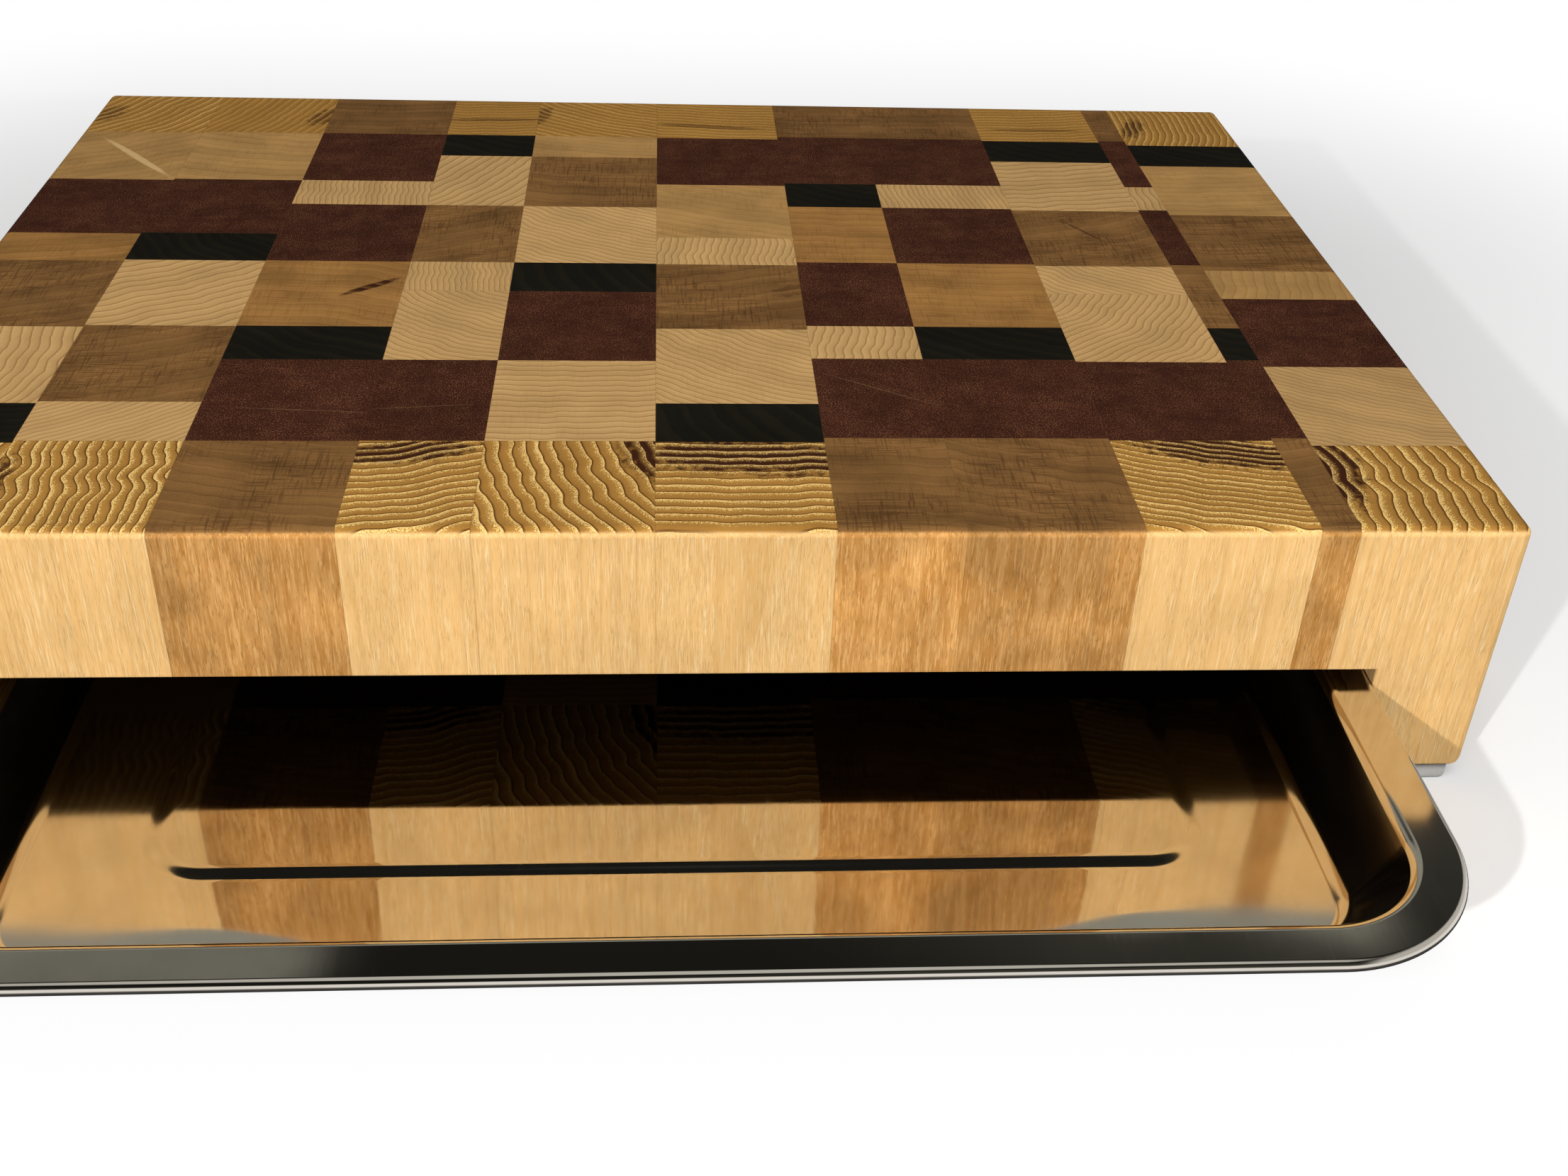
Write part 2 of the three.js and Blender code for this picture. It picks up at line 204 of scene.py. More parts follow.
# Slices from left to right, and in each its blocks from front to back
SLICES = (
    (Strip("ash", 0, 160, 4.2, 0.0, 1.6), Strip("ebony", 70, 60, 4.0, 0.0),
     Strip("maple", 175, 70, 3.4, 0.1), Strip("walnut", 110, 220, 6.0, 0.2),
     Strip("cherry", 100, 200, 5.0, 0.0), Strip("wenge", 80, 200, 6.0, -0.1),
     Strip("pear", 120, 150, 5.0, 0.2), Strip("ash", 150, 90, 4.0, -0.2, 0.8, 0.45)),
    (Strip("ash", 182, 240, 3.2, 0.0, 2.2), Strip("maple", 128, 150, 2.4, -0.1),
     Strip("walnut", 112, 260, 6.5, 0.3), Strip("maple", 122, 200, 4.6, 0.2),
     Strip("ebony", 40, 80, 5.0, 0.0), Strip("wenge", 95, 200, 6.0, -0.2),
     Strip("pear", 80, 180, 5.5, 0.4), Strip("ash", 160, 120, 3.6, -0.35, 0.8, 0.15)),
    (Strip("walnut", 78, 170, 5.0, 0.1), Strip("wenge", 85, 120, 7.0, 0.35),
     Strip("ebony", 60, 90, 6.0, 0.0), Strip("cherry", 262, 90, 5.0, 0.3),
     Strip("wenge", 100, 200, 6.0, 0.0), Strip("maple", 2, 300, 2.2, 0.0),
     Strip("wenge", 95, 200, 6.0, 0.1), Strip("walnut", 92, 200, 5.0, 0.2)),
    (Strip("ash", 106, 220, 3.8, 0.0), Strip("wenge", 80, 130, 7.0, -0.1),
     Strip("maple", 58, 110, 2.9, 0.0), Strip("maple", 4, 300, 2.0, 0.1),
     Strip("walnut", 118, 160, 6.0, 0.5), Strip("maple", 150, 200, 4.0, 0.0),
     Strip("ebony", 60, 90, 6.0, 0.1), Strip("ash", 92, 200, 3.4, -0.3, 0.8, 0.15)),
    (Strip("ash", 20, 150, 4.3, 0.0, 1.5), Strip("maple", 91, 320, 3.5, 0.0),
     Strip("wenge", 85, 150, 6.0, 0.1), Strip("ebony", 20, 90, 7.5, 0.1),
     Strip("maple", 60, 140, 3.0, 0.3), Strip("walnut", 85, 220, 7.0, 0.5),
     Strip("pear", 80, 200, 4.0, 0.5), Strip("ash", 60, 120, 3.6, -0.1, 0.8, 0.35)),
    (Strip("ash", 90, 300, 4.1, 0.0), Strip("ebony", 25, 90, 8.0, 0.1),
     Strip("maple", 57, 130, 3.0, 0.1), Strip("walnut", 104, 170, 7.0, 0.5),
     Strip("maple", 176, 240, 2.7, 0.2), Strip("pear", 70, 220, 5.0, 0.4),
     Strip("wenge", 92, 200, 6.0, 0.3), Strip("ash", 85, 220, 3.4, -0.1, 0.8, 0.2)),
    (Strip("walnut", 268, 150, 5.5, 0.2), Strip("wenge", 60, 90, 7.0, 0.3),
     Strip("maple", 172, 110, 3.0, 0.2), Strip("wenge", 95, 200, 6.0, 0.2),
     Strip("cherry", 88, 260, 5.5, 0.4), Strip("ebony", 60, 90, 6.0, 0.0),
     Strip("wenge", 92, 200, 6.0, 0.4), Strip("walnut", 90, 240, 5.5, 0.3)),
    (Strip("walnut", 74, 180, 5.5, 0.2), Strip("wenge", 80, 120, 7.0, 0.3),
     Strip("ebony", 60, 90, 6.0, 0.0), Strip("cherry", 86, 240, 5.0, 0.4),
     Strip("wenge", 95, 200, 6.0, 0.1), Strip("maple", 3, 320, 2.3, 0.1),
     Strip("wenge", 95, 200, 6.0, 0.3), Strip("walnut", 92, 240, 5.5, 0.3)),
    (Strip("ash", 75, 220, 3.2, 0.0), Strip("wenge", 80, 150, 7.0, 0.0),
     Strip("maple", 140, 90, 2.9, 0.1), Strip("maple", 52, 100, 3.0, 0.2),
     Strip("walnut", 112, 180, 6.0, 0.5), Strip("maple", 100, 240, 4.6, 0.0),
     Strip("ebony", 60, 90, 6.0, 0.0), Strip("ash", 95, 220, 3.4, -0.2, 0.8, 0.2)),
    (Strip("walnut", 98, 200, 5.5, 0.3), Strip("wenge", 90, 160, 7.0, -0.1),
     Strip("ebony", 60, 90, 6.0, 0.0), Strip("walnut", 92, 240, 6.0, 0.4),
     Strip("wenge", 95, 200, 6.0, 0.0), Strip("maple", 3, 300, 3.0, -0.1),
     Strip("wenge", 95, 200, 6.0, 0.3), Strip("walnut", 92, 200, 5.5, 0.2)),
    (Strip("ash", 181, 230, 4.6, 0.0, 1.3), Strip("maple", 64, 210, 2.5, -0.55),
     Strip("wenge", 95, 170, 6.0, 0.0), Strip("pear", 170, 140, 4.0, 0.2),
     Strip("walnut", 96, 200, 6.0, 0.4), Strip("pear", 95, 200, 5.0, 0.3),
     Strip("ebony", 60, 90, 6.0, 0.0), Strip("ash", 175, 110, 3.0, -0.2, 0.8, 0.5)),
)


# The narrow strips of each slice, from left to right, counted from 1 at the front
NARROW_STRIPS = ((2, 5), (2, 5), (3, 6), (4, 7), (4, 7), (2, 5), (3, 6), (3, 6), (4, 7), (3, 6), (4, 7))

# What sets each block's noise apart from its neighbours'
SEED_STEP_PER_SLICE = 3.17
SEED_STEP_PER_STRIP = 1.61

# The two rails are long-grain ash, each with its own seed
RAIL_WOOD = Strip("ash", 60, 70, 3.0, 0.0)
RAIL_SEED = 41.3


class Mark(NamedTuple):
    """A knot or a streak in a block. Its place is a share of the block's width and depth."""
    across_share: float
    deep_share: float
    half_length: float     # millimetres
    half_width: float      # millimetres
    angle: float           # degrees from +X
    strength: float        # 1 is black heartwood, -1 is pale sapwood


# Marks by slice and strip, both counted from 1
MARKS = {
    (1, 7): Mark(0.60, 0.45, 30, 1.9, -50, -0.8),
    (1, 8): Mark(0.12, 0.45, 12, 6.0, 70, 0.6),
    (2, 1): Mark(-0.02, 0.52, 18, 7.0, 88, 0.9),
    (2, 8): Mark(0.97, 0.45, 14, 7.0, 60, 0.7),
    (3, 2): Mark(0.62, 0.36, 26, 0.4, -4, -0.07),
    (3, 4): Mark(0.78, 0.60, 13, 2.2, 38, 1.0),
    (4, 1): Mark(0.30, 0.86, 26, 7.5, 8, 1.0),
    (4, 2): Mark(0.40, 0.40, 20, 0.4, 6, -0.06),
    (4, 8): Mark(0.52, 0.42, 24, 2.4, 2, 0.55),
    (5, 1): Mark(1.0, 0.82, 20, 11.0, 112, 1.0),
    (5, 8): Mark(0.02, 0.55, 13, 4.5, 80, 0.65),
    (6, 1): Mark(0.56, 0.82, 44, 12.0, -4, 1.0),
    (6, 4): Mark(0.95, 0.60, 10, 5.0, 30, 0.45),
    (6, 8): Mark(0.42, 0.32, 26, 2.4, -6, 0.6),
    (7, 2): Mark(0.55, 0.60, 24, 0.4, -32, -0.07),
    (9, 1): Mark(0.66, 0.86, 32, 10.0, -13, 1.0),
    (9, 5): Mark(0.48, 0.62, 13, 0.9, -58, 0.6),
    (9, 8): Mark(0.50, 0.32, 24, 2.0, 0, 0.5),
    (11, 1): Mark(0.04, 0.68, 25, 10.0, 84, 1.0),
    (11, 8): Mark(0.14, 0.45, 15, 5.5, 70, 0.8),
}

NO_MARK = Mark(0.5, 0.5, 1.0, 1.0, 0.0, 0.0)


class Lamp(NamedTuple):
    """Where a lamp stands, as seen from the middle of the object, and how wide it is."""
    azimuth: float         # degrees, 0 in front and growing to the right
    elevation: float       # degrees
    distance: float        # metres
    size: float            # metres


LAMPS = {
    "left_lamp": Lamp(azimuth=-28, elevation=25, distance=1.5, size=0.03),
    "right_lamp": Lamp(azimuth=24, elevation=22, distance=1.5, size=0.03),
    "fill_lamp": Lamp(azimuth=8, elevation=62, distance=1.8, size=1.0),
}


def colour_property(name, text, default):
    return bpy.props.FloatVectorProperty(
        name=name, description=text, subtype="COLOR", size=3, min=0, max=1, default=default)


def length_property(name, text, default_mm):
    return bpy.props.FloatProperty(
        name=name, description=text, unit="LENGTH", subtype="DISTANCE", min=0, default=default_mm * MM)


def share_property(name, text, default):
    return bpy.props.FloatProperty(
        name=name, description=text, subtype="FACTOR", min=0, max=1, default=default)


def angle_property(name, text, default_degrees):
    return bpy.props.FloatProperty(
        name=name, description=text, unit="ROTATION", subtype="ANGLE", min=0,
        default=math.radians(default_degrees))


def power_property(name, text, default_watts):
    return bpy.props.FloatProperty(
        name=name, description=text, unit="POWER", min=0, default=default_watts)


def strength_property(name, text, default):
    return bpy.props.FloatProperty(name=name, description=text, min=0, default=default)


def wood_settings(wood):
    """A PropertyGroup with the colours of one wood."""
    colours = COLOURS[wood]
    texts = {
        "end": "Plain wood of the end grain",
        "early": "Open wood at the start of a ring",
        "line": "Dense wood at the end of a ring",
        "pore": "Pores, flecks and vessels",
        "side": "Plain wood along the grain",
        "streak": "Streaks along the grain",
    }
    fields = {
        key: colour_property(key.capitalize(), text + " of the " + wood, getattr(colours, key))
        for key, text in texts.items()
    }
    return type(wood.capitalize() + "Settings", (bpy.types.PropertyGroup,), {
        "__annotations__": fields,
        "__doc__": "Colours of the " + wood,
    })


WOOD_SETTINGS = {wood: wood_settings(wood) for wood in COLOURS}


class BlockSettings(bpy.types.PropertyGroup):
    """Sizes of the wooden block's edges and seams."""
    top_round: length_property("Top edge", "Radius of the edge round the worktop", 3.0)
    side_round: length_property("Corner", "Radius of the four upright corners", 3.0)
    foot_round: length_property("Leg edge", "Radius of the legs' lower outer edges", 4.0)
    heel_round: length_property("Leg end", "Radius of the legs' lower front and back edges", 1.2)
    slot_round: length_property("Channel edge", "Radius of the edges round the channel's mouth", 0.7)
    seam: length_property("Seam", "Width of a glue line on one side of a joint", 0.22)
    glue: colour_property("Glue", "Colour of the glue lines", srgb(84, 56, 28))
    heartwood: colour_property("Heartwood", "Colour of knots and dark streaks", srgb(58, 30, 16))
    sapwood: colour_property("Sapwood", "Colour of pale streaks", srgb(206, 172, 118))


class TraySettings(bpy.types.PropertyGroup):
    """Sizes and finish of the pressed steel tray."""
    sheet: length_property("Sheet", "Thickness of the steel sheet", 0.8)
    depth: length_property("Depth", "From the rim down to the tray's flat bottom", 22.3)
    corner: length_property("Corner", "Radius of the rim's corners, seen from above", 46.0)
    hem_round: length_property("Hem", "Radius at which the rim turns down", 2.0)
    rim: length_property("Rim", "Width of the flat rim with its hem", 12.2)
    rim_bend: length_property("Bend", "Radius between the rim and the wall", 4.0)
    fillet: length_property("Fillet", "Radius between the wall and the bottom", 5.5)
    panel_side: length_property("Panel side", "From the tray's side to the raised panel", 59.6)
    panel_end: length_property("Panel end", "From the tray's end to the raised panel", 59.0)
    panel_corner: length_property("Panel corner", "Radius of the raised panel's corners", 20.0)
    panel_slope: length_property("Panel slope", "Width of the raised panel's sloped edge", 6.8)
    panel_rise: length_property("Panel height", "Height of the raised panel", 0.7)
    draft: angle_property("Draft", "How far the wall leans out", 31)
    hem_curl: angle_property("Hem curl", "How far the hem curls in under the rim", 50)
    rim_fall: angle_property("Rim fall", "How far the rim leans down to its edge", 2)
    end_lift: length_property("End lift", "How far the bottom curls up towards the middle of each end", 0.74)
    buckle: length_property("Buckle", "Depth of the unevenness in the pressed bottom", 0.8)
    steel: colour_property("Steel", "Colour of the polished steel", (0.69, 0.64, 0.57))
    polish: share_property("Roughness", "Roughness of the polished sheet", 0.035)
    stretched: share_property("Stretched", "How much rougher the sheet is near its two sides", 0.07)


class SmallPartSettings(bpy.types.PropertyGroup):
    """Edges and colour of the foot strips and the tray rails."""
    strip_edge: length_property("Strip edge", "Radius of a foot strip's edges", 0.8)
    strip_corner: length_property("Strip corner", "Radius of a foot strip's corners", 3.0)
    rail_edge: length_property("Rail edge", "Radius of a rail's small edges", 0.6)
    rail_round: length_property("Rail round", "Radius of a rail's lower inner edge", 2.0)
    rubber: colour_property("Rubber", "Colour of the foot strips", srgb(196, 193, 188))


class StageSettings(bpy.types.PropertyGroup):
    """The floor, the background, the lamps and the camera."""
    floor_radius: length_property("Floor radius", "Radius of the round floor", 6000.0)
    floor: colour_property("Floor", "Colour of the floor", (0.95, 0.95, 0.95))
    bounce: colour_property(
        "Floor bounce", "Colour of the floor in the light that it throws back", (0.3, 0.3, 0.3))
    # Painted shade: the dark floor colour that the steel mirrors near the object and behind it
    painted_contact_shade: colour_property(
        "Contact shade", "Colour of the floor that the steel mirrors under the object", (0.05, 0.05, 0.05))
    floor_glow: share_property(
        "Floor glow", "How much of the floor beside the object shows as plain white", 0.06)
    front_glow: share_property(
        "Front glow", "How much of the floor before the object shows as plain white", 0.95)
    floor_fade: length_property("Floor fade", "Distance at which the whole floor shows as white", 450.0)
    mirror_start: length_property(
        "Mirrored floor start", "How far from the object the steel begins to see white floor", 30.0)
    mirror_end: length_property(
        "Mirrored floor end", "How far from the object the steel sees only white floor", 110.0)
    horizon: colour_property("Background", "Colour of the background up to eye level", (1.0, 1.0, 1.0))
    haze: colour_property(
        "Haze", "Colour of the room behind the block that the steel mirrors", (0.32, 0.325, 0.285))
    pale_room: colour_property(
        "Pale room", "Colour of the side walls and of the ceiling right overhead", (0.62, 0.62, 0.60))
    overhead: colour_property("Dark room", "Colour of the rest of the room overhead", (0.012, 0.012, 0.010))
    glimmer: colour_property("Glimmer", "Colour of the paler parts of that dark room", (0.05, 0.05, 0.042))
    ambient: strength_property("Ambient", "Strength of the even light from the front", 0.12)
    ambient_back: strength_property("Ambient behind", "Strength of the even light from behind", 0.40)
    left_lamp_power: power_property("Left lamp", "Power of the low lamp in front on the left", 12.5)
    right_lamp_power: power_property("Right lamp", "Power of the low lamp in front on the right", 9)
    fill_lamp_power: power_property("Fill lamp", "Power of the wide lamp above in front", 13)
    camera_place: bpy.props.FloatVectorProperty(
        name="Camera", description="Place of the camera", subtype="TRANSLATION", unit="LENGTH", size=3,
        default=(-0.0051, -0.5467, 0.3629))
    camera_turn: bpy.props.FloatVectorProperty(
        name="Camera angles", description="How the camera is turned", subtype="EULER", unit="ROTATION",
        size=3, default=[math.radians(angle) for angle in (55.929, -2.016, -3.307)])


class Nodes:
    """Short ways to add nodes to one tree and to join them."""

    def __init__(self, tree):
        self.tree = tree

    def feed(self, socket, value):
        if isinstance(value, bpy.types.NodeSocket):
            self.tree.links.new(value, socket)
        else:
            socket.default_value = value

    def add(self, kind, inputs=None, **settings):
        node = self.tree.nodes.new("ShaderNode" + kind)
        for name, value in settings.items():
            setattr(node, name, value)
        for key, value in (inputs or {}).items():
            self.feed(node.inputs[key], value)
        return node

    def math(self, operation, *values):
        node = self.add("Math", dict(enumerate(values)), operation=operation)
        return node.outputs[0]

    def vector(self, operation, *values):
        node = self.add("VectorMath", dict(enumerate(values)), operation=operation)
        return node.outputs["Value" if operation == "LENGTH" else "Vector"]

    def scaled(self, vector, factor):
        node = self.add("VectorMath", {"Vector": vector, "Scale": factor}, operation="SCALE")
        return node.outputs["Vector"]

    def smooth(self, value, low, high, start=0.0, end=1.0):
        """Goes from start to end with an S curve while value goes from low to high."""
        node = self.add("MapRange", interpolation_type="SMOOTHSTEP")
        for key, given in zip(("Value", "From Min", "From Max", "To Min", "To Max"),
                              (value, low, high, start, end)):
            self.feed(node.inputs[key], given)
        return node.outputs["Result"]

    def falling(self, value, low, high):
        """Falls from 1 to 0 in the same way."""
        return self.smooth(value, low, high, 1.0, 0.0)

    def product(self, first, *others):
        for other in others:
            first = self.math("MULTIPLY", first, other)
        return first

    def added(self, start, *terms):
        """Adds to the start each mask times its own amount."""
        for mask, amount in terms:
            start = self.math("MULTIPLY_ADD", mask, amount, start)
        return start

    def spread(self, value, span):
        """Spreads a value from 0 to 1 over this span, with 0 in its middle."""
        return self.math("MULTIPLY_ADD", value, span, -span / 2)

    def noise(self, vector, detail=2.0, roughness=0.5, w=None):
        """Soft noise from 0 to 1 at a place, along W alone where no place is given, or at both."""
        dimensions = "1D" if vector is None else ("3D" if w is None else "4D")
        node = self.add("TexNoise", {"Scale": 1.0, "Detail": detail, "Roughness": roughness},
                        noise_dimensions=dimensions)
        if vector is not None:
            self.feed(node.inputs["Vector"], vector)
        if w is not None:
            self.feed(node.inputs["W"], w)
        return node.outputs[0]

    def mix(self, factor, first, second):
        """Goes from the first colour to the second. The numbers are the Mix node's colour sockets."""
        node = self.add("Mix", {0: factor}, data_type="RGBA")
        for index, value in ((6, first), (7, second)):
            linked = isinstance(value, bpy.types.NodeSocket)
            self.feed(node.inputs[index], value if linked else (*value, 1.0))
        return node.outputs[2]

    def layered(self, colour, *layers):
        """Lays colours over the first one, each as strongly as its mask says."""
        for mask, over in layers:
            colour = self.mix(mask, colour, over)
        return colour

    def attribute(self, name, output):
        node = self.add("Attribute", attribute_name=name)
        return node.outputs[output]

    def split(self, vector):
        node = self.add("SeparateXYZ", {0: vector})
        return node.outputs

    def join(self, x, y, z):
        node = self.add("CombineXYZ", {0: x, 1: y, 2: z})
        return node.outputs[0]

    def group(self, tree, **inputs):
        node = self.tree.nodes.new("ShaderNodeGroup")
        node.node_tree = tree
        for name, value in inputs.items():
            self.feed(node.inputs[name.replace("_", " ")], value)
        return node.outputs


def effect(name, inputs, outputs, build):
    """A shader node group. build gets the nodes and the group's inputs, and returns the outputs' sockets."""
    tree = bpy.data.node_groups.get(name)
    if tree:
        return tree
    tree = bpy.data.node_groups.new(name, "ShaderNodeTree")
    for socket_name, kind in inputs:
        tree.interface.new_socket(socket_name, in_out="INPUT", socket_type="NodeSocket" + kind)
    for socket_name in outputs:
        tree.interface.new_socket(socket_name, in_out="OUTPUT", socket_type="NodeSocketFloat")
    nodes = Nodes(tree)
    given = tree.nodes.new("NodeGroupInput").outputs
    result = tree.nodes.new("NodeGroupOutput")
    for socket_name, socket in build(nodes, given).items():
        nodes.feed(result.inputs[socket_name], socket)
    return tree


def build_cut_faces(nodes, given):
    """Tells end grain from the long grain, and finds the rounded edges and the glue lines."""
    edge_starts, edge_ends, end_grain = (0.04, 0.35), (0.70, 0.97), (0.45, 0.80)
    wander_per_mm, narrowest, wander_reach = 0.9, 0.2, 1.6
    normal = nodes.add("TexCoord").outputs["Normal"]
    upright = nodes.math("ABSOLUTE", nodes.split(normal)[2])
    rising = nodes.smooth(upright, *edge_starts)
    falling = nodes.falling(upright, *edge_ends)
    above = nodes.vector("SUBTRACT", given["Position"], nodes.attribute("cell_low", "Vector"))
    below = nodes.vector("SUBTRACT", nodes.attribute("cell_high", "Vector"), given["Position"])
    nearest = nodes.split(nodes.vector("MINIMUM", above, below))
    wander = nodes.noise(nodes.scaled(given["Position"], wander_per_mm), detail=2)
    inset = nodes.math("MINIMUM", nearest[0], nearest[1])
    width = nodes.math("MULTIPLY", given["Seam Width"],
                       nodes.math("MULTIPLY_ADD", wander, wander_reach, narrowest))
    return {
        "End": nodes.smooth(upright, *end_grain),
        "Edge": nodes.math("MULTIPLY", rising, falling),
        "Seam": nodes.falling(inset, 0.0, width),
    }


def build_growth_rings(nodes, given):
    """Rings round a pith that runs along the grain, with an open pale start and a dense dark end."""
    shared_bends_per_mm, shared_wave_mm = 0.065, 3.0
    own_bends_per_mm, own_wave_mm = (0.07, 0.07, 0.008), 2.4
    bands_per_mm, seed_of_bands, band_levels = 0.075, 3.0, (0.32, 0.68)
    grains_per_mm, raggedness, soft_edge = (2.4, 2.4, 0.16), 4.0, 0.05
    early_least, early_spread, line_end = 0.55, 0.9, 0.985

    position = given["Position"]
    seed = nodes.attribute("seed", "Fac")
    local = nodes.vector("SUBTRACT", position, nodes.attribute("cell_middle", "Vector"))
    cosine, sine, distance = nodes.split(nodes.attribute("pith", "Vector"))
    x, y, _ = nodes.split(local)
    along = nodes.math("MULTIPLY_ADD", x, cosine, nodes.math("MULTIPLY", y, sine))
    around = nodes.math("SUBTRACT", nodes.math("MULTIPLY", y, cosine), nodes.math("MULTIPLY", x, sine))
    inward = nodes.math("SUBTRACT", distance, along)
    squared = nodes.math("MULTIPLY_ADD", inward, inward, nodes.math("MULTIPLY", around, around))
    radius = nodes.math("SQRT", squared)

    # All rings wave together along the ring, and a little on their own
    together = nodes.noise(None, detail=1.0,
                           w=nodes.math("MULTIPLY_ADD", around, shared_bends_per_mm, seed))
    alone = nodes.noise(nodes.vector("MULTIPLY", position, own_bends_per_mm), detail=2, w=seed)
    wave = nodes.math("ADD", nodes.spread(together, shared_wave_mm), nodes.spread(alone, own_wave_mm))
    reach = nodes.math("MULTIPLY", given["Wave"], nodes.attribute("waviness", "Fac"))
    wandered = nodes.math("MULTIPLY_ADD", wave, reach, radius)
    turns = nodes.math("DIVIDE", wandered, nodes.attribute("ring_width", "Fac"))
    phase = nodes.math("ADD", turns, seed)
    number = nodes.math("ADD", nodes.math("FLOOR", phase), seed)
    chance = nodes.add("TexWhiteNoise", {"W": number}, noise_dimensions="1D").outputs["Value"]
    slow = nodes.noise(None, detail=2.0, w=nodes.math(
        "MULTIPLY_ADD", wandered, bands_per_mm, nodes.math("MULTIPLY", seed, seed_of_bands)))

    # The open wood is a row of coarse pores, so its far edge is ragged and its near edge is sharp
    share = nodes.math("FRACT", phase)
    grains = nodes.noise(nodes.vector("MULTIPLY", position, grains_per_mm), detail=1, roughness=0.6)
    width = nodes.math("MULTIPLY", given["Early Share"],
                       nodes.math("MULTIPLY_ADD", chance, early_spread, early_least))
    fray = nodes.math("MULTIPLY", given["Ragged"], raggedness)
    edge = nodes.math("MULTIPLY_ADD", nodes.math("SUBTRACT", grains, 0.5), fray, width)
    early = nodes.falling(nodes.math("SUBTRACT", share, edge), -soft_edge, soft_edge)
    line_start = nodes.math("SUBTRACT", 1.0, nodes.math("MULTIPLY", given["Line Share"], 2.0))
    return {
        "Early": early,
        "Line": nodes.smooth(share, line_start, line_end),
        "Late": share,
        "Band": nodes.smooth(slow, *band_levels),
    }


def build_vessels(nodes, given):
    """Pores, which are dots on the end grain and dashes along it, soft fibres and fine bright glints."""
    clusters_per_mm, cluster_reach = (0.10, 0.10, 0.02), 0.22
    fibres_per_mm, fibre_levels = (0.55, 0.55, 0.045), (0.34, 0.66)
    glints_per_pore, glint_levels = (0.95, 0.95, 0.45), (0.54, 0.63)
    pore_softness = 0.10
    across = nodes.math("DIVIDE", 1.0, given["Size"])
    lengthwise = nodes.math("DIVIDE", 1.0, given["Length"])
    stretched = nodes.vector("MULTIPLY", given["Position"], nodes.join(across, across, lengthwise))
    dots = nodes.noise(stretched, detail=1.0, roughness=0.6)
    clusters = nodes.noise(nodes.vector("MULTIPLY", given["Position"], clusters_per_mm),
                           detail=3, roughness=0.6)
    opening = nodes.math("MULTIPLY_ADD", clusters, -cluster_reach,
                         nodes.math("ADD", given["Cover"], cluster_reach / 2))
    fibres = nodes.noise(nodes.vector("MULTIPLY", given["Position"], fibres_per_mm),
                         detail=4, roughness=0.65)
    glints = nodes.noise(nodes.vector("MULTIPLY", stretched, glints_per_pore), detail=1.5, roughness=0.5)
    return {
        "Pores": nodes.smooth(dots, opening, nodes.math("ADD", opening, pore_softness)),
        "Fibre": nodes.smooth(fibres, *fibre_levels),
        "Glints": nodes.smooth(glints, *glint_levels),
    }


def build_marks(nodes, given):
    """The knot or streak that a block's own values place in it, frayed along the rings."""
    frays_per_mm, fray_share, widest_fray = (0.32, 0.32, 0.05), 0.25, 1.5
    edge_levels, late_levels = (0.62, 1.05), (0.25, 0.65)
    late_loss, early_loss = 0.27, 0.37
    place = nodes.attribute("mark_place", "Vector")
    form = nodes.attribute("mark_form", "Vector")
    strength = nodes.attribute("mark_strength", "Fac")
    x, y, _ = nodes.split(nodes.vector("SUBTRACT", given["Position"], place))
    half_length = nodes.split(place)[2]
    cosine, sine, half_width = nodes.split(form)
    along = nodes.math("MULTIPLY_ADD", x, cosine, nodes.math("MULTIPLY", y, sine))
    beside = nodes.math("SUBTRACT", nodes.math("MULTIPLY", y, cosine), nodes.math("MULTIPLY", x, sine))

    def squared(value):
        return nodes.math("POWER", nodes.math("ABSOLUTE", value), 2.0)

    far = nodes.math("SQRT", nodes.math(
        "ADD",
        squared(nodes.math("DIVIDE", along, half_length)),
        squared(nodes.math("DIVIDE", beside, half_width))))
    fray = nodes.noise(nodes.vector("MULTIPLY", given["Position"], frays_per_mm), detail=4, roughness=0.65)
    reach = nodes.math("MINIMUM", nodes.math("MULTIPLY", half_width, fray_share), widest_fray)
    ragged = nodes.math("MULTIPLY_ADD", nodes.math("SUBTRACT", fray, 0.5), reach, far)
    inside = nodes.falling(ragged, *edge_levels)

    # A wide mark is darkest in the dense wood, and a small one is dark all over
    dense = nodes.smooth(given["Late"], *late_levels,
                         nodes.math("MULTIPLY_ADD", reach, -late_loss, 1.0), 1.0)
    open_wood = nodes.math("MULTIPLY_ADD", nodes.math("MULTIPLY", given["Early"], reach), -early_loss, 1.0)
    between = nodes.product(inside, dense, open_wood)
    paleness = nodes.math("MAXIMUM", nodes.math("MULTIPLY", strength, -1.0), 0.0)
    return {
        "Dark": nodes.math("MULTIPLY", between, nodes.math("MAXIMUM", strength, 0.0)),
        "Pale": nodes.math("MULTIPLY", inside, paleness),
    }


def build_sanding(nodes, given):
    """Faint straight scratches along and across the board, in patches."""
    patches_per_mm, patch_levels, scratch_levels = 0.035, (0.30, 0.60), (0.50, 0.64)

    def scratches(per_mm):
        stretched = nodes.vector("MULTIPLY", given["Position"], per_mm)
        return nodes.smooth(nodes.noise(stretched, detail=2, roughness=0.6), *scratch_levels)

    both = nodes.math("MAXIMUM", scratches((0.06, 1.5, 0.02)), scratches((1.3, 0.08, 0.02)))
    patches = nodes.noise(nodes.scaled(given["Position"], patches_per_mm), detail=2)
    return {"Scratches": nodes.math("MULTIPLY", both, nodes.smooth(patches, *patch_levels))}


def build_wear(nodes, given):
    """Slow unevenness of a finish, from 0 to 1, and its finer grain."""
    levels = (0.3, 0.7)
    broad = nodes.noise(nodes.scaled(given["Position"], given["Broad"]), detail=3)
    fine = nodes.noise(nodes.scaled(given["Position"], given["Fine"]), detail=3, roughness=0.65)
    return {"Broad Wear": nodes.smooth(broad, *levels), "Fine Wear": nodes.smooth(fine, *levels)}


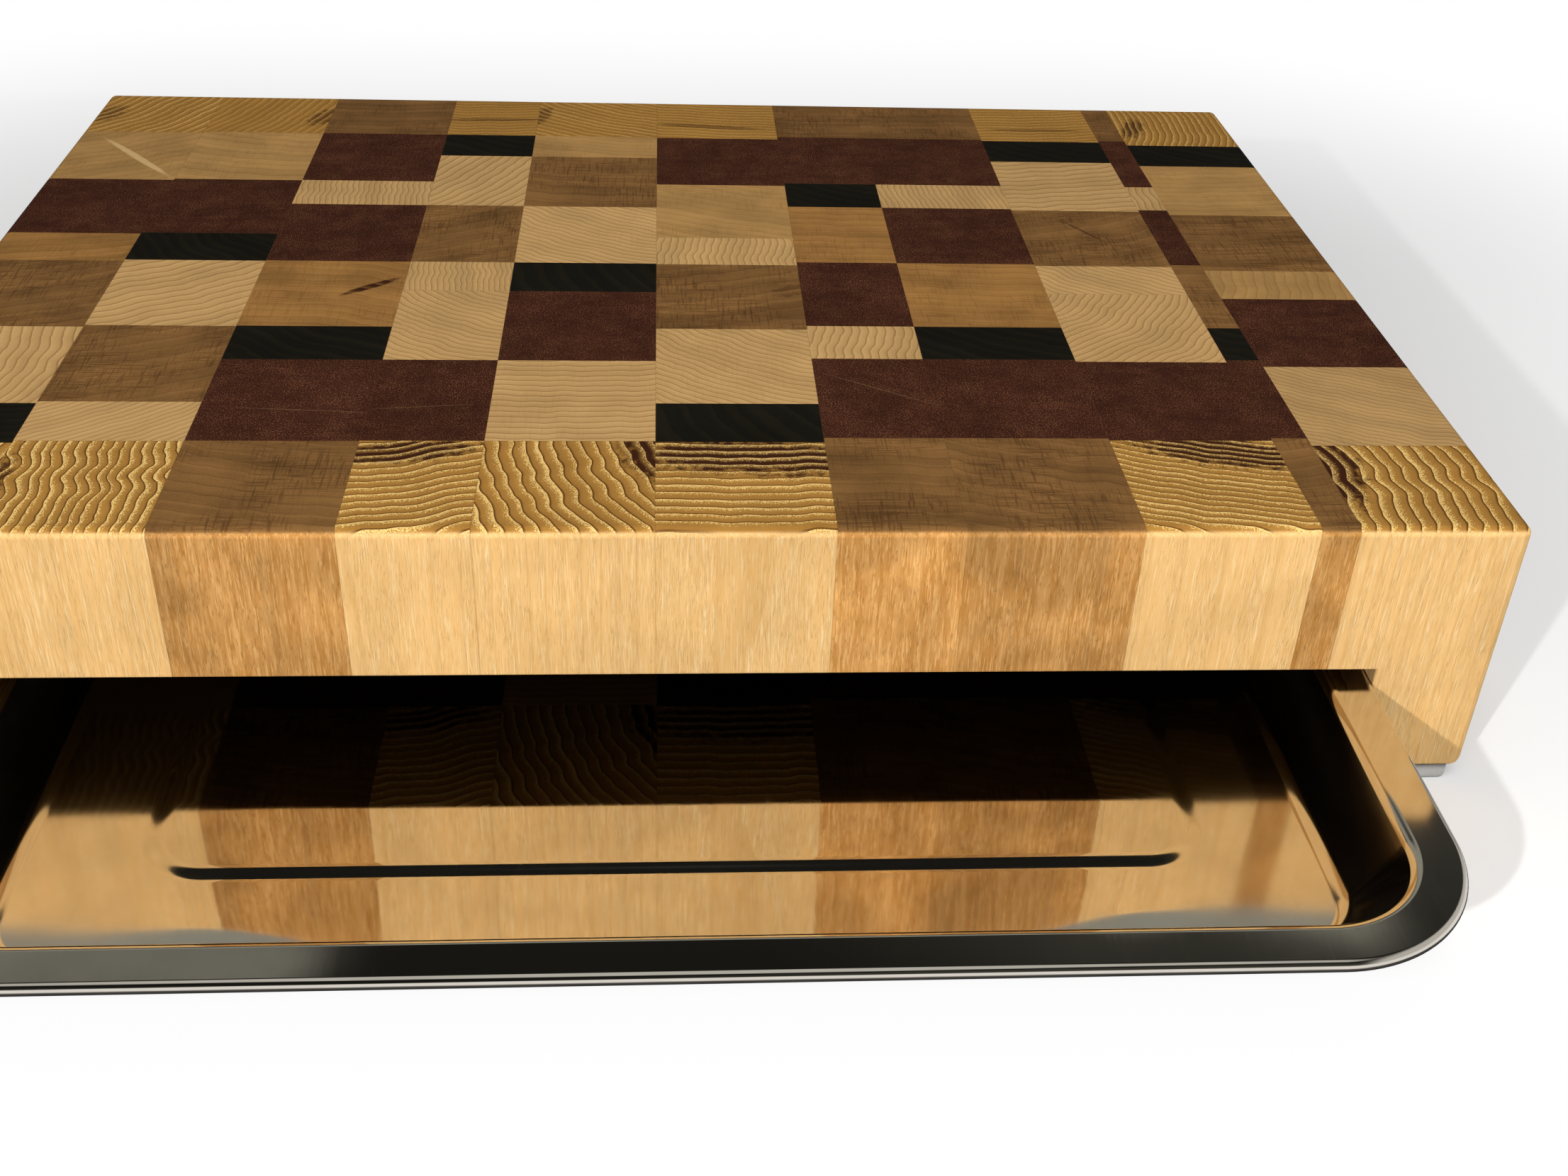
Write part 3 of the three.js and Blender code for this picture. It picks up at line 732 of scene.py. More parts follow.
def build_room(nodes, given):
    """Parts of a room round the object, by the direction they lie in. Ranges are of its X, Y or Z."""
    patches_scale, patch_levels = 1.6, (0.42, 0.66)
    far_wall, far_wall_foot = (0.30, 0.55), (0.5, 0.6)
    far_wall_left, far_wall_right = (-0.46, -0.40), (0.36, 0.42)
    haze_top, left_haze_top = (0.70, 0.725), (0.745, 0.775)
    left_haze_end, left_haze_share = (-0.24, -0.15), 0.6
    side_walls, side_walls_foot, ceiling = (0.46, 0.66), (0.15, 0.30), (0.86, 0.95)
    horizon_back, horizon_top = (0.45, 0.70), (0.16, 0.36)

    across, back, height = nodes.split(given["Direction"])
    behind = nodes.product(
        nodes.smooth(back, *far_wall), nodes.falling(across, *far_wall_right),
        nodes.smooth(across, *far_wall_left), nodes.smooth(height, *far_wall_foot))
    low_haze = nodes.product(behind, nodes.falling(height, *haze_top))
    left_haze = nodes.product(behind, nodes.smooth(across, *left_haze_end, left_haze_share, 0.0),
                              nodes.falling(height, *left_haze_top))
    sides = nodes.product(nodes.smooth(nodes.math("ABSOLUTE", across), *side_walls),
                          nodes.smooth(height, *side_walls_foot))
    patches = nodes.noise(nodes.scaled(given["Direction"], patches_scale), detail=1)
    return {
        "Patches": nodes.smooth(patches, *patch_levels),
        "Haze": nodes.math("MAXIMUM", low_haze, left_haze),
        "Pale": nodes.math("MAXIMUM", sides, nodes.smooth(height, *ceiling)),
        "Horizon": nodes.product(nodes.falling(back, *horizon_back), nodes.falling(height, *horizon_top)),
    }


POSITION_IN = [("Position", "Vector")]


def floats(*names):
    return [(name, "Float") for name in names]


def cut_faces():
    return effect("cut faces", POSITION_IN + floats("Seam Width"), ["End", "Edge", "Seam"],
                  build_cut_faces)


def growth_rings():
    return effect("growth rings", POSITION_IN + floats("Wave", "Early Share", "Line Share", "Ragged"),
                  ["Early", "Line", "Late", "Band"], build_growth_rings)


def vessels():
    return effect("vessels", POSITION_IN + floats("Size", "Length", "Cover"),
                  ["Pores", "Fibre", "Glints"], build_vessels)


def marks():
    return effect("knots and streaks", POSITION_IN + floats("Early", "Late"), ["Dark", "Pale"],
                  build_marks)


def sanding():
    return effect("sanding scratches", POSITION_IN, ["Scratches"], build_sanding)


def wear():
    return effect("finish wear", POSITION_IN + floats("Broad", "Fine"), ["Broad Wear", "Fine Wear"],
                  build_wear)


def room():
    return effect("mirrored room", [("Direction", "Vector")], ["Patches", "Haze", "Pale", "Horizon"],
                  build_room)


def backdrop_rays(nodes):
    """The rays that see the background: those from the camera, and mirrored ones that lit nothing matt."""
    no_bounce_yet = 0.5
    rays = nodes.add("LightPath").outputs
    beyond = nodes.math("MAXIMUM", rays["Is Glossy Ray"], rays["Is Transmission Ray"])
    unspent = nodes.math("LESS_THAN", rays["Diffuse Depth"], no_bounce_yet)
    return rays["Is Camera Ray"], nodes.math("MULTIPLY", beyond, unspent)


def new_material(name):
    """A material with only a Principled BSDF, and its nodes."""
    material = bpy.data.materials.new(name)
    material.use_nodes = True
    nodes = Nodes(material.node_tree)
    shader = next(n for n in material.node_tree.nodes if n.type == "BSDF_PRINCIPLED")
    return material, nodes, shader


def add_bump(nodes, shader, height, distance):
    bump = nodes.add("Bump", {"Height": height, "Distance": distance, "Strength": 1.0})
    nodes.feed(shader.inputs["Normal"], bump.outputs["Normal"])


def darker(colour, share):
    return [value * share for value in colour]


def millimetres(nodes, along_y=False):
    """The place on the piece in millimetres, turned so that the grain runs along Z."""
    place = nodes.scaled(nodes.add("TexCoord").outputs["Object"], 1 / MM)
    if not along_y:
        return place
    x, y, z = nodes.split(place)
    return nodes.join(x, z, y)


def end_grain_colour(nodes, figure, look, early, line, late, pores, scratches):
    """Rings with an open pale start and a dark line at their end, pores and sanding marks."""
    late_share = 0.42
    return nodes.layered(
        look.end,
        (nodes.product(late, figure.line * late_share), look.line),
        (early, look.early),
        (line, look.line),
        (nodes.product(pores, figure.pores), look.pore),
        (nodes.product(scratches, figure.sanding), look.line))


def long_grain_colour(nodes, figure, look, rings, tubes):
    """Streaks along the grain, where the glints break up the open wood."""
    glint_share = 0.8
    streaky = nodes.math("MULTIPLY_ADD", tubes["Glints"], glint_share, 1 - glint_share)
    return nodes.layered(
        look.side,
        (nodes.product(tubes["Fibre"], figure.side_fibre), look.streak),
        (nodes.product(rings["Early"], streaky, figure.side_early), look.streak),
        (nodes.product(tubes["Glints"], figure.side_glints), look.streak),
        (nodes.product(rings["Line"], figure.side_line), look.end),
        (nodes.product(tubes["Pores"], figure.pores), look.end))


def wood_material(name, wood, along_y=False):
    """One wood with rings, pores and streaks that run on from the end grain down the sides."""
    look = getattr(bpy.context.scene, "block_" + wood)
    block = bpy.context.scene.block_settings
    figure = FIGURES[wood]
    material, nodes, shader = new_material(name)
    position = millimetres(nodes, along_y)

    faces = nodes.group(cut_faces(), Position=position, Seam_Width=block.seam / MM)
    rings = nodes.group(growth_rings(), Position=position, Wave=figure.wave,
                        Early_Share=figure.early_share, Line_Share=figure.line_share,
                        Ragged=figure.ragged)
    tubes = nodes.group(vessels(), Position=position, Size=figure.pore_size,
                        Length=figure.pore_length, Cover=figure.pore_cover)
    knots = nodes.group(marks(), Position=position, Early=rings["Early"], Late=rings["Late"])
    scratches = nodes.group(sanding(), Position=position)["Scratches"]
    finish = nodes.group(wear(), Position=position, Broad=0.045, Fine=0.6)

    contrast = nodes.attribute("contrast", "Fac")
    early = nodes.product(rings["Early"], contrast, figure.early)
    line = nodes.product(rings["Line"], contrast, figure.line)
    end = end_grain_colour(nodes, figure, look, early, line, rings["Late"], tubes["Pores"], scratches)
    side = long_grain_colour(nodes, figure, look, rings, tubes)

    # The same unevenness for both, round a level that keeps the wood's mean brightness. The rounded edges
    # get a painted highlight that makes them paler.
    tone_reach, painted_edge_highlight, seam_share = 0.22, 0.08, 0.28
    brightness = nodes.added(
        1.0 - figure.mottle / 2 - figure.band / 4,
        (nodes.attribute("tone", "Fac"), tone_reach),
        (finish["Broad Wear"], figure.mottle),
        (rings["Band"], figure.band / 2),
        (faces["Edge"], painted_edge_highlight))
    colour = nodes.layered(
        nodes.scaled(nodes.mix(faces["End"], side, end), brightness),
        (knots["Dark"], block.heartwood),
        (knots["Pale"], block.sapwood),
        (nodes.product(faces["Seam"], seam_share), block.glue))
    nodes.feed(shader.inputs["Base Color"], colour)

    pore_roughness, wear_roughness, oiled_specular = 0.14, 0.10, 0.03
    nodes.feed(shader.inputs["Roughness"], nodes.added(
        figure.side_roughness,
        (faces["End"], figure.end_roughness - figure.side_roughness),
        (tubes["Pores"], pore_roughness),
        (finish["Fine Wear"], wear_roughness)))
    shader.inputs["Specular IOR Level"].default_value = oiled_specular

    # Heights as shares of the figure's relief, which is the height of the open wood
    pore_height, line_height, seam_height, glint_height = -0.35, -1.0, -0.5, 0.25
    height = nodes.added(
        early,
        (tubes["Pores"], pore_height),
        (line, line_height),
        (faces["Seam"], seam_height),
        (tubes["Glints"], glint_height))
    add_bump(nodes, shader, height, figure.relief * MM)
    return material


def pressed_form(nodes, position, beside, half, settings):
    """Height in millimetres of what a press leaves in flat sheet: a leaning rim, lifted ends, a buckle."""
    lift_side_shares, buckle_side_shares = (0.40, 0.62), (0.28, 0.85)
    least_buckle_share, buckles_per_mm = 0.15, 0.014
    corner, rim, panel_end = settings.corner / MM, settings.rim / MM, settings.panel_end / MM

    past = nodes.vector("SUBTRACT", beside, (half.x - corner, half.y - corner, 0.0))
    past = nodes.vector("MULTIPLY", nodes.vector("MAXIMUM", past, (0.0, 0.0, 0.0)), (1.0, 1.0, 0.0))
    outward = nodes.math("SUBTRACT", nodes.vector("LENGTH", past), corner - rim)
    height = nodes.math("MULTIPLY", nodes.math("MAXIMUM", outward, 0.0), -math.tan(settings.rim_fall))

    x, y, _ = nodes.split(beside)
    strip = panel_end - 2 * rim
    reach = nodes.math("MAXIMUM", nodes.math("SUBTRACT", y, half.y - panel_end), 0.0)
    share = nodes.math("DIVIDE", nodes.math("MINIMUM", reach, strip), strip)
    lift = nodes.product(share, share, nodes.smooth(
        x, *(part * half.x for part in lift_side_shares), settings.end_lift / MM, 0.0))

    ends = nodes.smooth(x, *(part * half.x for part in buckle_side_shares), least_buckle_share, 1.0)
    uneven = nodes.noise(nodes.scaled(position, buckles_per_mm), detail=1)
    buckle = nodes.product(uneven, settings.buckle / MM, ends)
    return nodes.math("ADD", nodes.math("ADD", height, lift), buckle)


def steel_material(settings):
    """Polished sheet: nearly a mirror, with faint rubbing marks and the slight buckle of a pressing."""
    stretched_shares, dull_share = (0.55, 0.78), 0.93
    rubs_per_mm, rub_levels, rub_height_levels = (0.7, 0.03, 0.3), (0.5, 0.8), (0.4, 0.8)
    wear_roughness, rub_roughness, rub_height_mm = 0.02, 0.03, 0.001
    material, nodes, shader = new_material("polished_steel")
    position = millimetres(nodes)
    low, high = (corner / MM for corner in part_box("catch_tray"))
    middle, half = (low + high) / 2, (high - low) / 2
    beside = nodes.vector("ABSOLUTE", nodes.vector("SUBTRACT", position, (middle.x, middle.y, 0.0)))
    finish = nodes.group(wear(), Position=position, Broad=0.012, Fine=0.05)
    rubbed = nodes.noise(nodes.vector("MULTIPLY", position, rubs_per_mm), detail=4, roughness=0.7)
    roughness = nodes.added(settings.polish, (finish["Fine Wear"], wear_roughness),
                            (nodes.smooth(rubbed, *rub_levels), rub_roughness))
    stretched = nodes.smooth(nodes.split(beside)[0], *(share * half.x for share in stretched_shares),
                             0.0, settings.stretched)
    nodes.feed(shader.inputs["Roughness"], nodes.math("ADD", stretched, roughness))
    tint = nodes.mix(finish["Fine Wear"], settings.steel, darker(settings.steel, dull_share))
    nodes.feed(shader.inputs["Base Color"], tint)
    shader.inputs["Metallic"].default_value = 1.0
    height = nodes.added(pressed_form(nodes, position, beside, half, settings),
                         (nodes.smooth(rubbed, *rub_height_levels), rub_height_mm))
    add_bump(nodes, shader, height, MM)
    return material


def rubber_material(settings):
    """Matt rubber with a fine moulded grain."""
    worn_share, grain_share, grain_amount = 0.84, 0.7, 0.25
    roughness, grain_roughness, grain_height_mm = 0.72, 0.15, 0.06
    material, nodes, shader = new_material("grey_rubber")
    position = millimetres(nodes)
    finish = nodes.group(wear(), Position=position, Broad=0.06, Fine=2.2)
    tint = nodes.layered(
        settings.rubber,
        (finish["Broad Wear"], darker(settings.rubber, worn_share)),
        (nodes.product(finish["Fine Wear"], grain_amount), darker(settings.rubber, grain_share)))
    nodes.feed(shader.inputs["Base Color"], tint)
    nodes.feed(shader.inputs["Roughness"],
               nodes.added(roughness, (finish["Fine Wear"], grain_roughness)))
    add_bump(nodes, shader, finish["Fine Wear"], grain_height_mm * MM)
    return material


def piece_from(name, mesh, material, body):
    """An object of the scene that rides on a body of the frame."""
    mesh.materials.append(material)
    piece = bpy.data.objects.new(name, mesh)
    bpy.context.scene.collection.objects.link(piece)
    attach(piece, body)
    return piece


def give(mesh, **values):
    """Writes values that are the same all over a piece, for its material to read."""
    for name, value in values.items():
        several = isinstance(value, (tuple, list, Vector))
        attribute = mesh.attributes.new(name, "FLOAT_VECTOR" if several else "FLOAT", "POINT")
        repeated = (list(value) if several else [value]) * len(mesh.vertices)
        attribute.data.foreach_set("vector" if several else "value", repeated)


def keep_faces_flat(piece, keep_sharp=False):
    """Lets the large faces set the normals along their edges, as strongly as the modifier can."""
    flat = piece.modifiers.new("flat faces", "WEIGHTED_NORMAL")
    flat.mode = "FACE_AREA"
    flat.weight = 100
    flat.keep_sharp = keep_sharp


def round_edges(piece, widest, segments):
    """Rounds the edges by their weights, which are shares of the widest radius."""
    bevel = piece.modifiers.new("rounded edges", "BEVEL")
    bevel.limit_method = "WEIGHT"
    bevel.width = widest
    bevel.segments = segments
    bevel.use_clamp_overlap = True
    keep_faces_flat(piece, keep_sharp=True)


def both_on(a, b, axis, value):
    """Whether both ends of an edge lie on a plane across this axis, 0 for X to 2 for Z."""
    return abs(a[axis] - value) < TOUCH and abs(b[axis] - value) < TOUCH


def finished_mesh(shape, name):
    """A smooth mesh from a shape, which is used up."""
    bmesh.ops.recalc_face_normals(shape, faces=shape.faces)
    for face in shape.faces:
        face.smooth = True
    mesh = bpy.data.meshes.new(name)
    shape.to_mesh(mesh)
    shape.free()
    return mesh


def prism(name, outline, low_y, high_y, radius_of, widest):
    """A solid between two upright planes, with an outline in X and Z and an edge weight per rounding."""
    shape = bmesh.new()
    front = [shape.verts.new((x, low_y, z)) for x, z in outline]
    back = [shape.verts.new((x, high_y, z)) for x, z in outline]
    shape.faces.new(front)
    shape.faces.new(back[::-1])
    for i, corner in enumerate(front):
        j = (i + 1) % len(front)
        shape.faces.new((front[j], corner, back[i], back[j]))
    weights = shape.edges.layers.float.new("bevel_weight_edge")
    for edge in shape.edges:
        radius = radius_of(*(vertex.co for vertex in edge.verts))
        edge[weights] = radius / widest
        edge.smooth = radius > 0
    return finished_mesh(shape, name)


class Block:
    """The planes of the whole wooden block, read from the packed frame, and the cells of its mosaic."""

    def __init__(self, settings):
        self.settings = settings
        self.slice_count = len(SLICES)
        self.last_strip = len(SLICES[0])
        self.left, self.front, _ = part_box("front_block_01")[0]
        self.right, self.back, self.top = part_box("back_block_%02d" % self.slice_count)[1]
        self.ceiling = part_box("front_block_02")[0].z
        self.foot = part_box("left_foot_strip")[1].z
        self.left_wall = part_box("left_tray_rail")[0].x
        self.right_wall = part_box("right_tray_rail")[1].x
        wide_low, wide_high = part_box("left_block_3")
        narrow_low, narrow_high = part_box("left_block_2")
        self.wide = wide_high.y - wide_low.y
        self.narrow = narrow_high.y - narrow_low.y

    def node_of(self, slice_number, strip_number):
        """The CAD node that holds a block of the mosaic."""
        if strip_number == 1:
            return "front_block_%02d" % slice_number
        if strip_number == self.last_strip:
            return "back_block_%02d" % slice_number
        if slice_number == 1:
            return "left_block_%d" % strip_number
        if slice_number == self.slice_count:
            return "right_block_%d" % strip_number
        half = "front" if strip_number <= self.last_strip // 2 else "back"
        return "%s_core_%02d" % (half, slice_number)

    def cell(self, slice_number, strip_number):
        """The low and high X and Y of one block of the mosaic."""
        low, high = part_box(self.node_of(slice_number, strip_number))
        inner = 1 < slice_number < self.slice_count
        if not inner or strip_number in (1, self.last_strip):
            return low.x, high.x, low.y, high.y
        first = 2 if strip_number <= self.last_strip // 2 else self.last_strip // 2 + 1
        run = self.widths(slice_number)[first - 1:first + 2]
        start = low.y + sum(run[:strip_number - first])
        return low.x, high.x, start, start + run[strip_number - first]

    def widths(self, slice_number):
        """Strip widths of a slice: two of its strips are narrow ones."""
        return [self.narrow if number in NARROW_STRIPS[slice_number - 1] else self.wide
                for number in range(1, self.last_strip + 1)]

    def outline(self, x0, x1):
        """X and Z of a block seen from the front: a slab, or an L where it runs down into a leg."""
        if x0 < self.left_wall - TOUCH:
            below = [(x0, self.foot), (self.left_wall, self.foot), (self.left_wall, self.ceiling)]
            return below + [(x1, self.ceiling), (x1, self.top), (x0, self.top)]
        if x1 > self.right_wall + TOUCH:
            below = [(x0, self.ceiling), (self.right_wall, self.ceiling), (self.right_wall, self.foot)]
            return below + [(x1, self.foot), (x1, self.top), (x0, self.top)]
        return [(x0, self.ceiling), (x1, self.ceiling), (x1, self.top), (x0, self.top)]

    def planes(self, a, b):
        """The names of the outer planes that hold both ends of an edge."""
        tests = {
            "left": (0, self.left), "right": (0, self.right), "front": (1, self.front),
            "back": (1, self.back), "top": (2, self.top), "foot": (2, self.foot),
            "ceiling": (2, self.ceiling), "left wall": (0, self.left_wall),
            "right wall": (0, self.right_wall),
        }
        return {name for name, (axis, value) in tests.items() if both_on(a, b, axis, value)}

    def radius_of(self, a, b):
        """The radius of an edge: 0 where two blocks are glued together or a corner is inside."""
        planes = self.planes(a, b)
        sides, ends = planes & {"left", "right"}, planes & {"front", "back"}
        channel = planes & {"ceiling", "left wall", "right wall"}
        if "top" in planes:
            return self.settings.top_round if sides or ends else 0.0
        if sides and ends:
            return self.settings.side_round
        if "foot" in planes and sides:
            return self.settings.foot_round
        if "foot" in planes and ends:
            return self.settings.heel_round
        if channel and (ends or "foot" in planes):
            return self.settings.slot_round
        return 0.0


def glued_sides(block, x0, x1, y0, y1):
    """Low and high corners in millimetres for the seams, moved out where the block's own outside is."""
    def side(value, outside, outward):
        return value / MM + (outward * NO_SEAM_MM if abs(value - outside) < TOUCH else 0.0)
    low = (side(x0, block.left, -1), side(y0, block.front, -1), 0.0)
    high = (side(x1, block.right, 1), side(y1, block.back, 1), 0.0)
    return low, high


def figure_values(strip, mark, seed, middle, size):
    """What a block's material reads: where the rings' middle is, and the knot or streak."""
    angle = math.radians(strip.pith_angle)
    mark = mark or NO_MARK
    turned = math.radians(mark.angle)
    return {
        "cell_middle": middle,
        "pith": (math.cos(angle), math.sin(angle), strip.pith_distance),
        "ring_width": strip.ring_width,
        "seed": seed,
        "tone": strip.tone,
        "waviness": strip.waviness,
        "contrast": strip.contrast,
        "mark_place": (
            middle[0] + (mark.across_share - 0.5) * size[0],
            middle[1] + (mark.deep_share - 0.5) * size[1],
            mark.half_length,
        ),
        "mark_form": (math.cos(turned), math.sin(turned), mark.half_width),
        "mark_strength": mark.strength,
    }


class BLOCK_OT_mosaic(bpy.types.Operator):
    """Glues up the block from its slices of end-grain blocks"""
    bl_idname = "block.mosaic"
    bl_label = "Glue up the mosaic"

    def execute(self, context):
        settings = context.scene.block_settings
        block = Block(settings)
        woods = {wood: wood_material(wood + "_block", wood) for wood in COLOURS}
        for i, strips in enumerate(SLICES):
            for j, strip in enumerate(strips):
                self.add_block(block, i + 1, j + 1, strip, woods[strip.wood])
        return {"FINISHED"}

    def add_block(self, block, slice_number, strip_number, strip, material):
        x0, x1, y0, y1 = block.cell(slice_number, strip_number)
        name = "slice_%02d_block_%d" % (slice_number, strip_number)
        widest = block.settings.foot_round
        mesh = prism(name, block.outline(x0, x1), y0, y1, block.radius_of, widest)
        low, high = glued_sides(block, x0, x1, y0, y1)
        middle = ((x0 + x1) / 2 / MM, (y0 + y1) / 2 / MM, 0.0)
        size = ((x1 - x0) / MM, (y1 - y0) / MM)
        seed = slice_number * SEED_STEP_PER_SLICE + strip_number * SEED_STEP_PER_STRIP
        mark = MARKS.get((slice_number, strip_number))
        give(mesh, cell_low=low, cell_high=high, **figure_values(strip, mark, seed, middle, size))
        piece = piece_from(name, mesh, material, "block")
        round_edges(piece, widest, BLOCK_EDGE_SEGMENTS)
        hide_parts(block.node_of(slice_number, strip_number))


class BLOCK_OT_rails(bpy.types.Operator):
    """Adds the two rails that carry the tray's rim"""
    bl_idname = "block.rails"
    bl_label = "Add the tray rails"

    def execute(self, context):
        settings = context.scene.small_part_settings
        material = wood_material("ash_rail", "ash", along_y=True)
        for number, side in enumerate(("left", "right")):
            node = side + "_tray_rail"
            low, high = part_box(node)
            wall_x, inner_x = (low.x, high.x) if side == "left" else (high.x, low.x)

            def radius_of(a, b):
                if both_on(a, b, 0, wall_x):
                    return 0.0
                lower_inner = both_on(a, b, 0, inner_x) and both_on(a, b, 2, low.z)
                return settings.rail_round if lower_inner else settings.rail_edge

            outline = [(low.x, low.z), (high.x, low.z), (high.x, high.z), (low.x, high.z)]
            mesh = prism(side + "_rail", outline, low.y, high.y, radius_of, settings.rail_round)
            middle = ((low.x + high.x) / 2 / MM, (low.z + high.z) / 2 / MM, 0.0)
            size = ((high.x - low.x) / MM, (high.z - low.z) / MM)
            give(mesh,
                 cell_low=(middle[0] - NO_SEAM_MM, middle[1] - NO_SEAM_MM, 0.0),
                 cell_high=(middle[0] + NO_SEAM_MM, middle[1] + NO_SEAM_MM, 0.0),
                 **figure_values(RAIL_WOOD, NO_MARK, RAIL_SEED + number, middle, size))
            piece = piece_from(side + "_rail", mesh, material, "block")
            round_edges(piece, settings.rail_round, RAIL_EDGE_SEGMENTS)
            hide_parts(node)
        return {"FINISHED"}


def rounded_plan(low, high, radius, steps):
    """X and Y round a rectangle with round corners, anticlockwise from above."""
    points = []
    for quarter, (side_x, side_y) in enumerate(((1, 1), (-1, 1), (-1, -1), (1, -1))):
        middle_x = (high.x if side_x > 0 else low.x) - side_x * radius
        middle_y = (high.y if side_y > 0 else low.y) - side_y * radius
        for step in range(steps + 1):
            angle = (quarter + step / steps) * math.pi / 2
            points.append((middle_x + radius * math.cos(angle), middle_y + radius * math.sin(angle)))
    return points


def skin(name, rings):
    """A smooth mesh through rings of equally many points, closed by a face at either end."""
    shape = bmesh.new()
    loops = [[shape.verts.new(point) for point in ring] for ring in rings]
    for first, second in zip(loops, loops[1:]):
        for i, corner in enumerate(first):
            j = (i + 1) % len(first)
            shape.faces.new((corner, first[j], second[j], second[i]))
    shape.faces.new(loops[0][::-1])
    shape.faces.new(loops[-1])
    return finished_mesh(shape, name)


class BLOCK_OT_foot_strips(bpy.types.Operator):
    """Adds the rubber strip under each leg"""
    bl_idname = "block.foot_strips"
    bl_label = "Add the foot strips"

    def execute(self, context):
        settings = context.scene.small_part_settings
        material = rubber_material(settings)
        edge, corner = settings.strip_edge, settings.strip_corner
        for side in ("left", "right"):
            node = side + "_foot_strip"
            low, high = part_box(node)
            rings = []
            for step in range(STRIP_STEPS + 1):
                angle = step / STRIP_STEPS * math.pi / 2
                inset = edge * (1 - math.sin(angle))
                inner = Vector((inset, inset, 0))
                height = low.z + edge * (1 - math.cos(angle))
                plan = rounded_plan(low + inner, high - inner, corner - inset, STRIP_STEPS)
                rings.append([(x, y, height) for x, y in plan])
            rings.append([(x, y, high.z) for x, y in rounded_plan(low, high, corner, STRIP_STEPS)])
            piece = piece_from(side + "_strip", skin(side + "_strip", rings), material, "block")
            keep_faces_flat(piece)
            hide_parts(node)
        return {"FINISHED"}


class TrayShape:
    """The pressed tray as rings round its middle, from the hem's lip to the middle of the bottom."""
    HEM_STEPS = 14
    BEND_STEPS = 8
    FILLET_STEPS = 14
    PANEL_STEPS = 8
    CORNER_STEPS = 28

    def __init__(self, settings):
        self.settings = settings
        self.low, self.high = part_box("catch_tray")

    def section(self):
        """Inset from the rim's edge and height from the rim, along the sheet's upper side."""
        s = self.settings
        points = []
        for step in range(self.HEM_STEPS + 1):
            angle = step / self.HEM_STEPS * (math.pi / 2 + s.hem_curl) - s.hem_curl
            points.append((s.hem_round * (1 - math.cos(angle)), s.hem_round * (math.sin(angle) - 1)))
        steep = math.pi / 2 - s.draft
        for step in range(self.BEND_STEPS + 1):
            angle = step / self.BEND_STEPS * steep
            points.append((s.rim + s.rim_bend * math.sin(angle), -s.rim_bend * (1 - math.cos(angle))))
        wall_inset, wall_height = points[-1]
        fillet_height = -s.depth + s.fillet * (1 - math.cos(steep))
        fillet_inset = wall_inset + (wall_height - fillet_height) * math.tan(s.draft)
        bottom_inset = fillet_inset + s.fillet * math.sin(steep)
        for step in range(self.FILLET_STEPS + 1):
            angle = (1 - step / self.FILLET_STEPS) * steep
            points.append((bottom_inset - s.fillet * math.sin(angle),
                           -s.depth + s.fillet * (1 - math.cos(angle))))
        return points

    def lowered(self, section):
        """The same section on the sheet's lower side."""
        moved = []
        for i, (inset, height) in enumerate(section):
            before = section[max(i - 1, 0)]
            after = section[min(i + 1, len(section) - 1)]
            along = Vector((after[0] - before[0], after[1] - before[1])).normalized()
            if i == len(section) - 1:
                moved.append((inset, height - self.settings.sheet))
            else:
                moved.append((inset + along.y * self.settings.sheet, height - along.x * self.settings.sheet))
        return moved

    def ring(self, side_inset, end_inset, height, corner):
        inset = Vector((side_inset, end_inset, 0))
        plan = rounded_plan(self.low + inset, self.high - inset, corner, self.CORNER_STEPS)
        return [(x, y, self.high.z + height) for x, y in plan]

    def panel(self, drop):
        """The raised panel's sloped edge, as a soft S from its outer crease to its inner one."""
        s = self.settings
        rings = []
        for step in range(self.PANEL_STEPS + 1):
            share = step / self.PANEL_STEPS
            rise = s.panel_rise * share * share * (3 - 2 * share)
            inward = s.panel_slope * share
            rings.append(self.ring(s.panel_side + inward, s.panel_end + inward,
                                   -s.depth + rise - drop, s.panel_corner - inward))
        return rings

    def rings(self):
        s = self.settings
        section = self.section()
        above = [self.ring(i, i, h, s.corner - i) for i, h in section]
        below = [self.ring(i, i, h, s.corner - i) for i, h in self.lowered(section)]
        upper = above + self.panel(0.0)
        lower = below + self.panel(s.sheet)
        return upper[::-1] + lower


class BLOCK_OT_tray(bpy.types.Operator):
    """Presses the steel catch tray"""
    bl_idname = "block.tray"
    bl_label = "Press the tray"

    def execute(self, context):
        settings = context.scene.tray_settings
        mesh = skin("steel_tray", TrayShape(settings).rings())
        piece = piece_from("steel_tray", mesh, steel_material(settings), "tray")
        keep_faces_flat(piece)
        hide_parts("catch_tray")
        return {"FINISHED"}


def area_lamp(name, lamp, power, target):
    """A square lamp that lights matt surfaces and isn't mirrored in the steel."""
    azimuth, elevation = math.radians(lamp.azimuth), math.radians(lamp.elevation)
    towards_lamp = Vector((math.sin(azimuth) * math.cos(elevation),
                           -math.cos(azimuth) * math.cos(elevation),
                           math.sin(elevation)))
    data = bpy.data.lights.new(name, "AREA")
    data.energy = power
    data.shape = "SQUARE"
    data.size = lamp.size
    piece = bpy.data.objects.new(name, data)
    piece.visible_glossy = False
    piece.location = target + lamp.distance * towards_lamp
    piece.rotation_euler = (target - piece.location).to_track_quat("-Z", "Y").to_euler()
    bpy.context.scene.collection.objects.link(piece)


